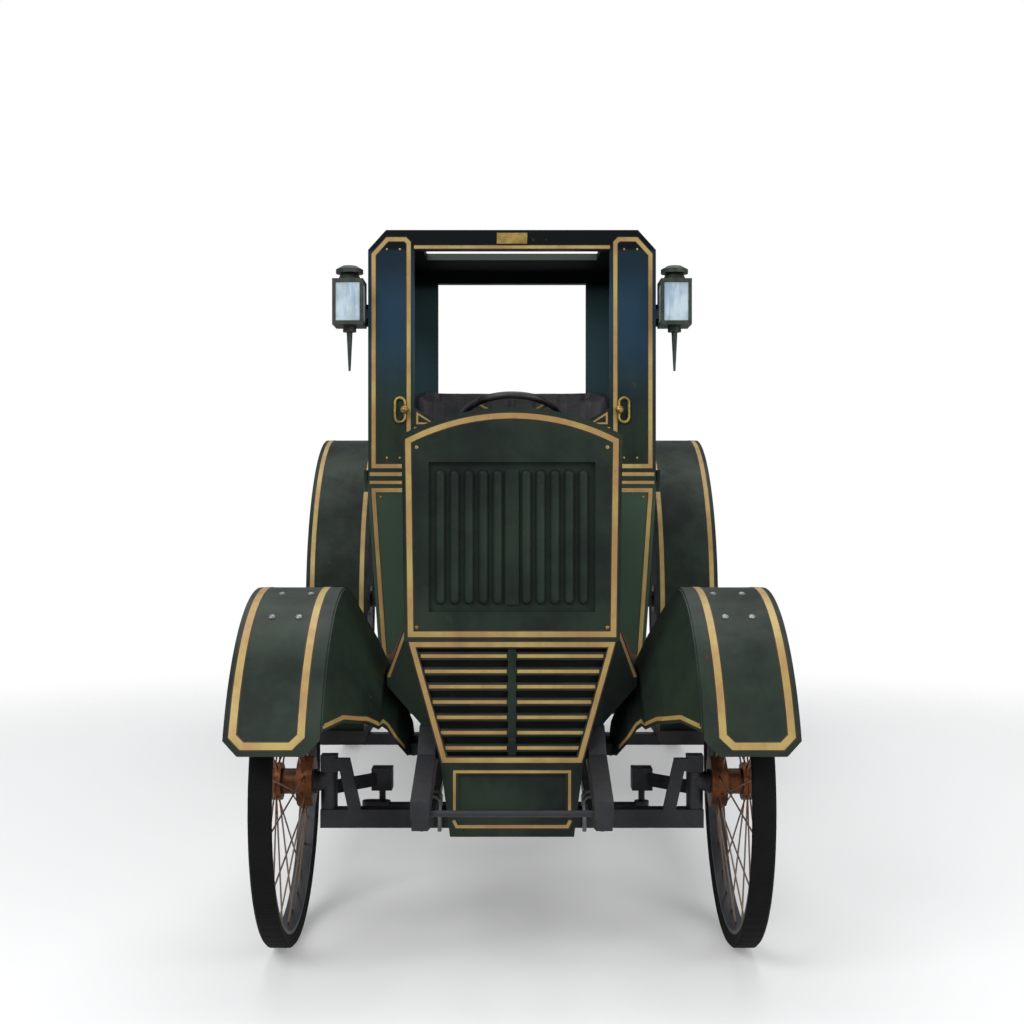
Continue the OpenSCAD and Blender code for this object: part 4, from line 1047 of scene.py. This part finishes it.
class COUPE_OT_seat(CoupeStep):
    """Makes the seat cushion and the back rest as stuffed leather"""

    bl_idname = "coupe.seat"
    bl_label = "Seat"

    def build(self):
        for node, face in (("seat_cushion", 2), ("seat_back", 1)):
            self.pad(node, face, PAD)

    def pad(self, node, face, d):
        """A rounded block drawn in from the solid, swollen by air pressure, drawn out to fill the solid's box, then
        pressed in along its sewn channels: depth falls as exp(-(distance / width) squared)."""
        low, high = (np.array(v, float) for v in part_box(node))
        core = block(low + d["inset"], high - d["inset"], d["round"])
        obj = piece("padded_" + node, [core], "chassis", black_hide())
        mesh = self.remeshed(obj, d["cell"])
        start = self.read(mesh, "co")
        if node == "seat_back":
            start[:, 1] += self.lean(start, low, high, d["lean"])
            mesh.vertices.foreach_set("co", start.ravel())
        shift = self.blown(obj, d) - start
        far = np.linalg.norm(shift, axis=1, keepdims=True)
        moved = start + shift * np.minimum(1.0, d["swell"] / np.maximum(far, 1e-9))
        share = (moved - moved.min(0)) / np.ptp(moved, axis=0)
        moved = low + d["gap"] + share * (high - low - 2 * d["gap"])
        mesh.vertices.foreach_set("co", moved.ravel())
        mesh.update()
        normals = self.read(mesh, "normal")
        pitch = sizes().pleat
        off = np.abs((moved[:, 0] + pitch / 2) % pitch - pitch / 2)
        ahead = np.clip(normals[:, 2] if face == 2 else -normals[:, 1], 0, 1)
        depth = d["channel"] * np.exp(-((off / d["channel"]) ** 2)) * ahead
        moved = moved - normals * depth[:, None]
        mesh.vertices.foreach_set("co", moved.ravel())
        mesh.polygons.foreach_set("use_smooth", [True] * len(mesh.polygons))
        sub = obj.modifiers.new("Round", "SUBSURF")
        sub.levels = sub.render_levels = 1
        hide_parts(node)

    def lean(self, p, low, high, most):
        """How far the back rest's front leans back: it grows with the height and fades towards the rear."""
        up = (p[:, 2] - low[2]) / (high[2] - low[2])
        return most * up * (high[1] - p[:, 1]) / (high[1] - low[1])

    def read(self, mesh, what):
        values = np.empty(len(mesh.vertices) * 3)
        mesh.vertices.foreach_get(what, values)
        return values.reshape(-1, 3)

    def remeshed(self, obj, size):
        """Gives a piece an even mesh of small cells."""
        mod = obj.modifiers.new("Cells", "REMESH")
        mod.mode, mod.voxel_size = "VOXEL", size
        done = bpy.data.meshes.new_from_object(obj.evaluated_get(bpy.context.evaluated_depsgraph_get()))
        obj.modifiers.remove(mod)
        old, obj.data = obj.data, done
        done.name = obj.name
        bpy.data.meshes.remove(old)
        if not done.materials:
            done.materials.append(black_hide())
        return done

    def blown(self, obj, d):
        """Where a cloth simulation with air pressure and no weight takes the points."""
        scene = bpy.context.scene
        mod = obj.modifiers.new("Air", "CLOTH")
        mod.settings.use_pressure = True
        mod.settings.uniform_pressure_force = d["pressure"]
        mod.settings.effector_weights.gravity = 0.0
        mod.settings.quality = 5
        for number in range(1, d["frames"] + 1):
            scene.frame_set(number)
        moved = self.read(obj.evaluated_get(bpy.context.evaluated_depsgraph_get()).data, "co")
        obj.modifiers.remove(mod)
        scene.frame_set(1)
        return moved


class COUPE_OT_stage(CoupeStep):
    """Sets the pale floor, the soft studio light, the white backdrop and the camera"""

    bl_idname = "coupe.stage"
    bl_label = "Stage"

    def build(self):
        scene = bpy.context.scene
        half = FLOOR["half"]
        v, f = grid(np.array([[(x, y, 0.0) for y in (-half, half)] for x in (-half, half)]))
        mesh = bpy.data.meshes.new("floor")
        mesh.from_pydata(v.tolist(), [], f)
        floor = bpy.data.objects.new("floor", mesh)
        scene.collection.objects.link(floor)
        mesh.materials.append(surface("Pale floor", self.floor_paint))
        for name, place, aim, size, power in LIGHTS:
            data = bpy.data.lights.new(name, "AREA")
            data.energy, data.size = power, size
            lamp = bpy.data.objects.new(name, data)
            lamp.location = place
            way = unit(np.array(aim, float) - np.array(place))
            lamp.rotation_euler = (math.acos(-way[2]), 0.0, math.atan2(way[1], way[0]) - math.pi / 2)
            scene.collection.objects.link(lamp)
        self.backdrop(scene)
        view = bpy.data.cameras.new("Camera")
        view.sensor_width = CAMERA["sensor"]
        view.lens = CAMERA["sensor"] / 2 / math.tan(math.radians(CAMERA["half_angle"]))
        view.dof.use_dof = False
        camera = bpy.data.objects.new("Camera", view)
        camera.location = (0.0, at_station(-CAMERA["ahead"]), CAMERA["z"])
        camera.rotation_euler = (math.pi / 2, 0.0, 0.0)
        scene.collection.objects.link(camera)
        scene.camera = camera
        scene.view_settings.view_transform = "Standard"

    def floor_paint(self, b):
        """Pale and dull; it thins out into the white backdrop with the distance from the car."""
        away = b.vector("LENGTH", b.place())
        return {"Base Color": (0.93, 0.93, 0.93, 1.0), "Roughness": 0.9,
                "Alpha": b.span(away, FLOOR["near"], FLOOR["far"], FLOOR["strength"], 0.0)}

    def backdrop(self, scene):
        """White to the camera and through glass, a softer grey as light."""
        world = bpy.data.worlds.new("Studio")
        world.use_nodes = True
        b = Brush(world.node_tree)
        b.tree.nodes.clear()
        path = b.add("ShaderNodeLightPath").outputs
        seen = b.math("MAXIMUM", path["Is Camera Ray"], path["Is Transmission Ray"])
        soft = b.add("ShaderNodeBackground", Color=(0.95, 0.97, 1.0, 1.0), Strength=0.42).outputs[0]
        white = b.add("ShaderNodeBackground", Color=(1.0, 1.0, 1.0, 1.0), Strength=1.0).outputs[0]
        b.add("ShaderNodeOutputWorld", Surface=b.add("ShaderNodeMixShader", None, (seen, soft, white)).outputs[0])
        scene.world = world


STEPS = (COUPE_OT_paint_shop, COUPE_OT_nose_lining, COUPE_OT_cab_lining, COUPE_OT_leaf_lining, COUPE_OT_guard_lining,
         COUPE_OT_boards, COUPE_OT_louvres, COUPE_OT_fittings, COUPE_OT_seat, COUPE_OT_stage)


class COUPE_PT_panel(Panel):
    bl_label = "Vintage coupe"
    bl_idname = "COUPE_PT_panel"
    bl_space_type = "VIEW_3D"
    bl_region_type = "UI"
    bl_category = "Coupe"

    def draw(self, context):
        layout = self.layout
        for group_name in ("coupe_finish", "coupe_sizes"):
            held = getattr(context.scene, group_name)
            for key in held.__annotations__:
                layout.prop(held, key)
        for step in STEPS:
            layout.operator(step.bl_idname)


CLASSES = (CoupeFinish, CoupeSizes, *STEPS, COUPE_PT_panel)


def register():
    for cls in CLASSES:
        bpy.utils.register_class(cls)
    bpy.types.Scene.coupe_finish = PointerProperty(type=CoupeFinish)
    bpy.types.Scene.coupe_sizes = PointerProperty(type=CoupeSizes)


def unregister():
    del bpy.types.Scene.coupe_sizes
    del bpy.types.Scene.coupe_finish
    for cls in reversed(CLASSES):
        bpy.utils.unregister_class(cls)


def main():
    register()
    for step in STEPS:
        area, verb = step.bl_idname.split(".")
        getattr(getattr(bpy.ops, area), verb)()


if __name__ == "__main__":
    main()
